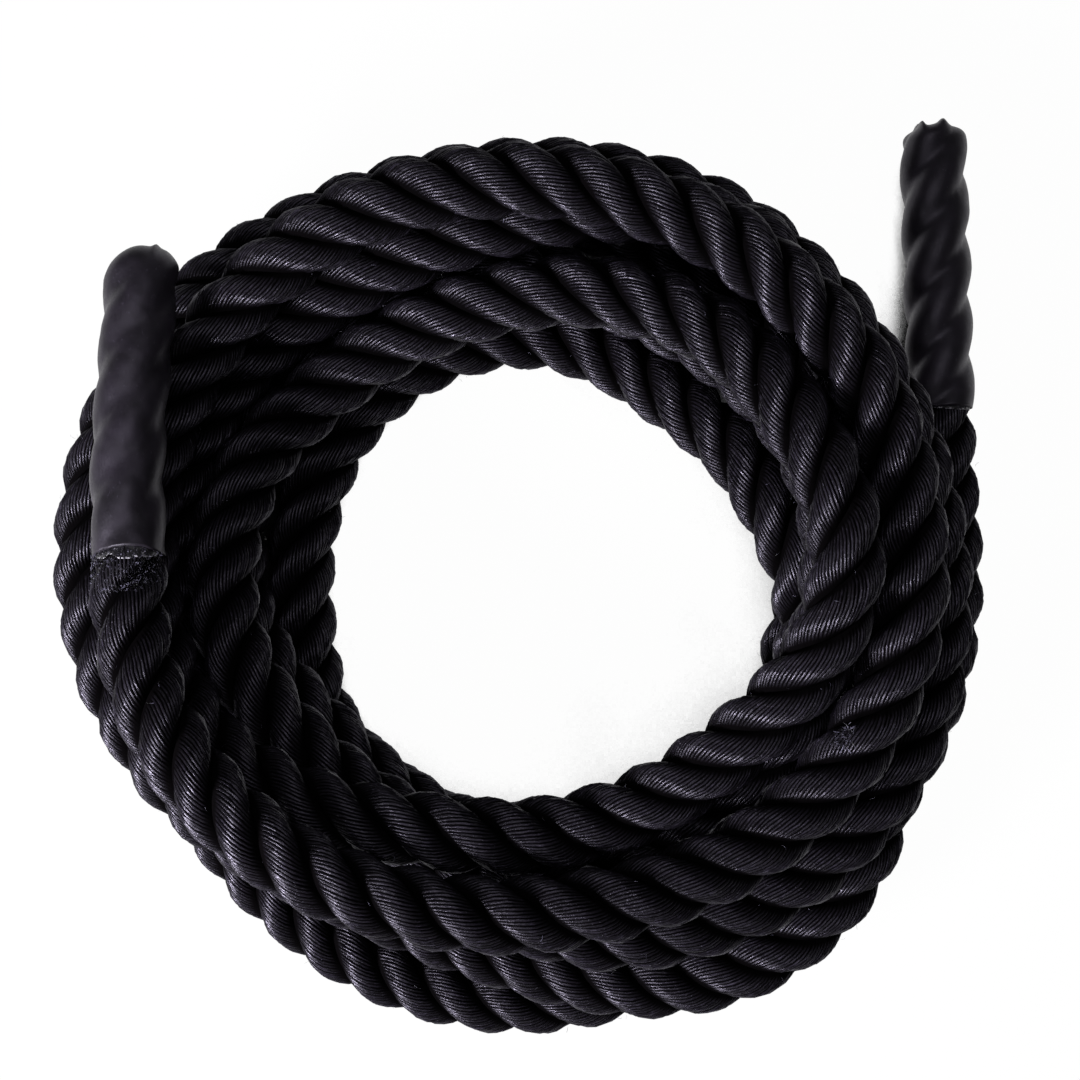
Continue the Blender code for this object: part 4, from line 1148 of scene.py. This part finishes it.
# The tapes: cloth tape round each cut end, under the film, which keeps the strands from unlaying. They keep
# their CAD shapes, and get their cloth here, with a thread every 0.8 mm.
WEAVE_SCALE = 380.0
tape_cloth = bpy.data.materials.new("cloth_backed_tape")
tape_cloth.use_nodes = True
tape_nodes = tape_cloth.node_tree
tape_shader = tape_nodes.nodes["Principled BSDF"]
tape_spot = add_node(tape_nodes, "ShaderNodeTexCoord").outputs["Object"]
wefts = add_node(tape_nodes, "ShaderNodeTexWave",
                 {"Vector": tape_spot, "Scale": WEAVE_SCALE, "Distortion": 0.3},
                 wave_type="BANDS", bands_direction="Y")
warps = add_node(tape_nodes, "ShaderNodeTexWave",
                 {"Vector": tape_spot, "Scale": WEAVE_SCALE, "Distortion": 0.3},
                 wave_type="BANDS", bands_direction="X")
weave = add_node(tape_nodes, "ShaderNodeMath", {0: wefts.outputs["Fac"], 1: warps.outputs["Fac"]},
                 operation="MAXIMUM")
tape_tone = add_node(tape_nodes, "ShaderNodeMix",
                     {"Factor": weave, "A": linear("26262a"), "B": linear("3c3c42")}, data_type="RGBA")
tape_nodes.links.new(tape_tone.outputs["Result"], tape_shader.inputs["Base Color"])
tape_bump = add_node(tape_nodes, "ShaderNodeBump",
                     {"Strength": 0.5, "Distance": 0.0002, "Height": weave})
tape_nodes.links.new(tape_bump.outputs[0], tape_shader.inputs["Normal"])
tape_shader.inputs["Roughness"].default_value = 0.6
tapes = [frame["nodes"][f"{name}_tape"] for name in sleeve_places]
for tape in tapes:
    tape.data.materials.clear()
    tape.data.materials.append(tape_cloth)


# The floor that the coil lies on, which isn't part of the rope. The camera sees it as plain white, except
# where the rope stands close round it: there its colour is painted dark as shade, by ambient occlusion.
FLOOR_SPAN = 6.0
SHADE_REACH = 0.20
bpy.ops.mesh.primitive_plane_add(size=FLOOR_SPAN)
floor = bpy.context.object
floor.name = "floor"
paper = bpy.data.materials.new("white_paper_floor")
paper.use_nodes = True
paper_shader = paper.node_tree.nodes["Principled BSDF"]
paper_shader.inputs["Roughness"].default_value = 0.9
seen_by = add_node(paper.node_tree, "ShaderNodeLightPath")
seen = add_node(paper.node_tree, "ShaderNodeMath",
                {0: seen_by.outputs["Is Camera Ray"], 1: seen_by.outputs["Is Glossy Ray"]},
                operation="MAXIMUM")
seen = add_node(paper.node_tree, "ShaderNodeMath",
                {0: seen, 1: seen_by.outputs["Is Transmission Ray"]}, operation="MAXIMUM")
openness = add_node(paper.node_tree, "ShaderNodeAmbientOcclusion", {"Distance": SHADE_REACH})
# Painted shade: the floor's colour goes from white to near black where the rope stands close round it.
clear_of_floor_shade = add_node(paper.node_tree, "ShaderNodeMapRange",
                      {"Value": openness.outputs["AO"], "From Min": 0.24, "From Max": 0.36})
shaded = add_node(paper.node_tree, "ShaderNodeMix",
                  {"Factor": clear_of_floor_shade, "A": linear("08080a"), "B": linear("fbfbfc")}, data_type="RGBA")
paper.node_tree.links.new(shaded.outputs["Result"], paper_shader.inputs["Base Color"])
in_the_open = add_node(paper.node_tree, "ShaderNodeMapRange",
                       {"Value": openness.outputs["AO"], "From Min": 0.22, "From Max": 0.31, "To Max": 0.98})
white_share = add_node(paper.node_tree, "ShaderNodeMath", {0: seen, 1: in_the_open}, operation="MULTIPLY")
white = add_node(paper.node_tree, "ShaderNodeEmission", {"Color": linear("ffffff"), "Strength": 1.0})
paper_mix = add_node(paper.node_tree, "ShaderNodeMixShader", {0: white_share, 1: paper_shader, 2: white})
paper.node_tree.links.new(paper_mix.outputs[0], paper.node_tree.nodes["Material Output"].inputs["Surface"])
floor.data.materials.append(paper)


# Soft studio light: the main lamp is beyond the coil's lower left, and rakes the strands from that side. A
# weak one hangs above, and the room is dim. Each has its place, width and power.
LAMPS = (
    ("key_lower_left", (-1.0, -0.75, 0.90), 0.40, 44.0),
    ("weak_overhead", (0.0, 0.2, 1.8), 1.2, 6.0),
)
for name, place, span, watts in LAMPS:
    lamp = bpy.data.lights.new(name, "AREA")
    lamp.shape = "SQUARE"
    lamp.size = span
    lamp.energy = watts
    lamp.color = linear("fcfbff")[:3]
    holder = bpy.data.objects.new(name, lamp)
    holder.location = place
    holder.rotation_euler = (-Vector(place)).to_track_quat("-Z", "Y").to_euler()
    bpy.context.scene.collection.objects.link(holder)
world = bpy.data.worlds.new("white_room")
bpy.context.scene.world = world
world.use_nodes = True
world.node_tree.nodes["Background"].inputs["Color"].default_value = linear("ffffff")
world.node_tree.nodes["Background"].inputs["Strength"].default_value = 0.08
bpy.context.scene.view_settings.view_transform = "Standard"
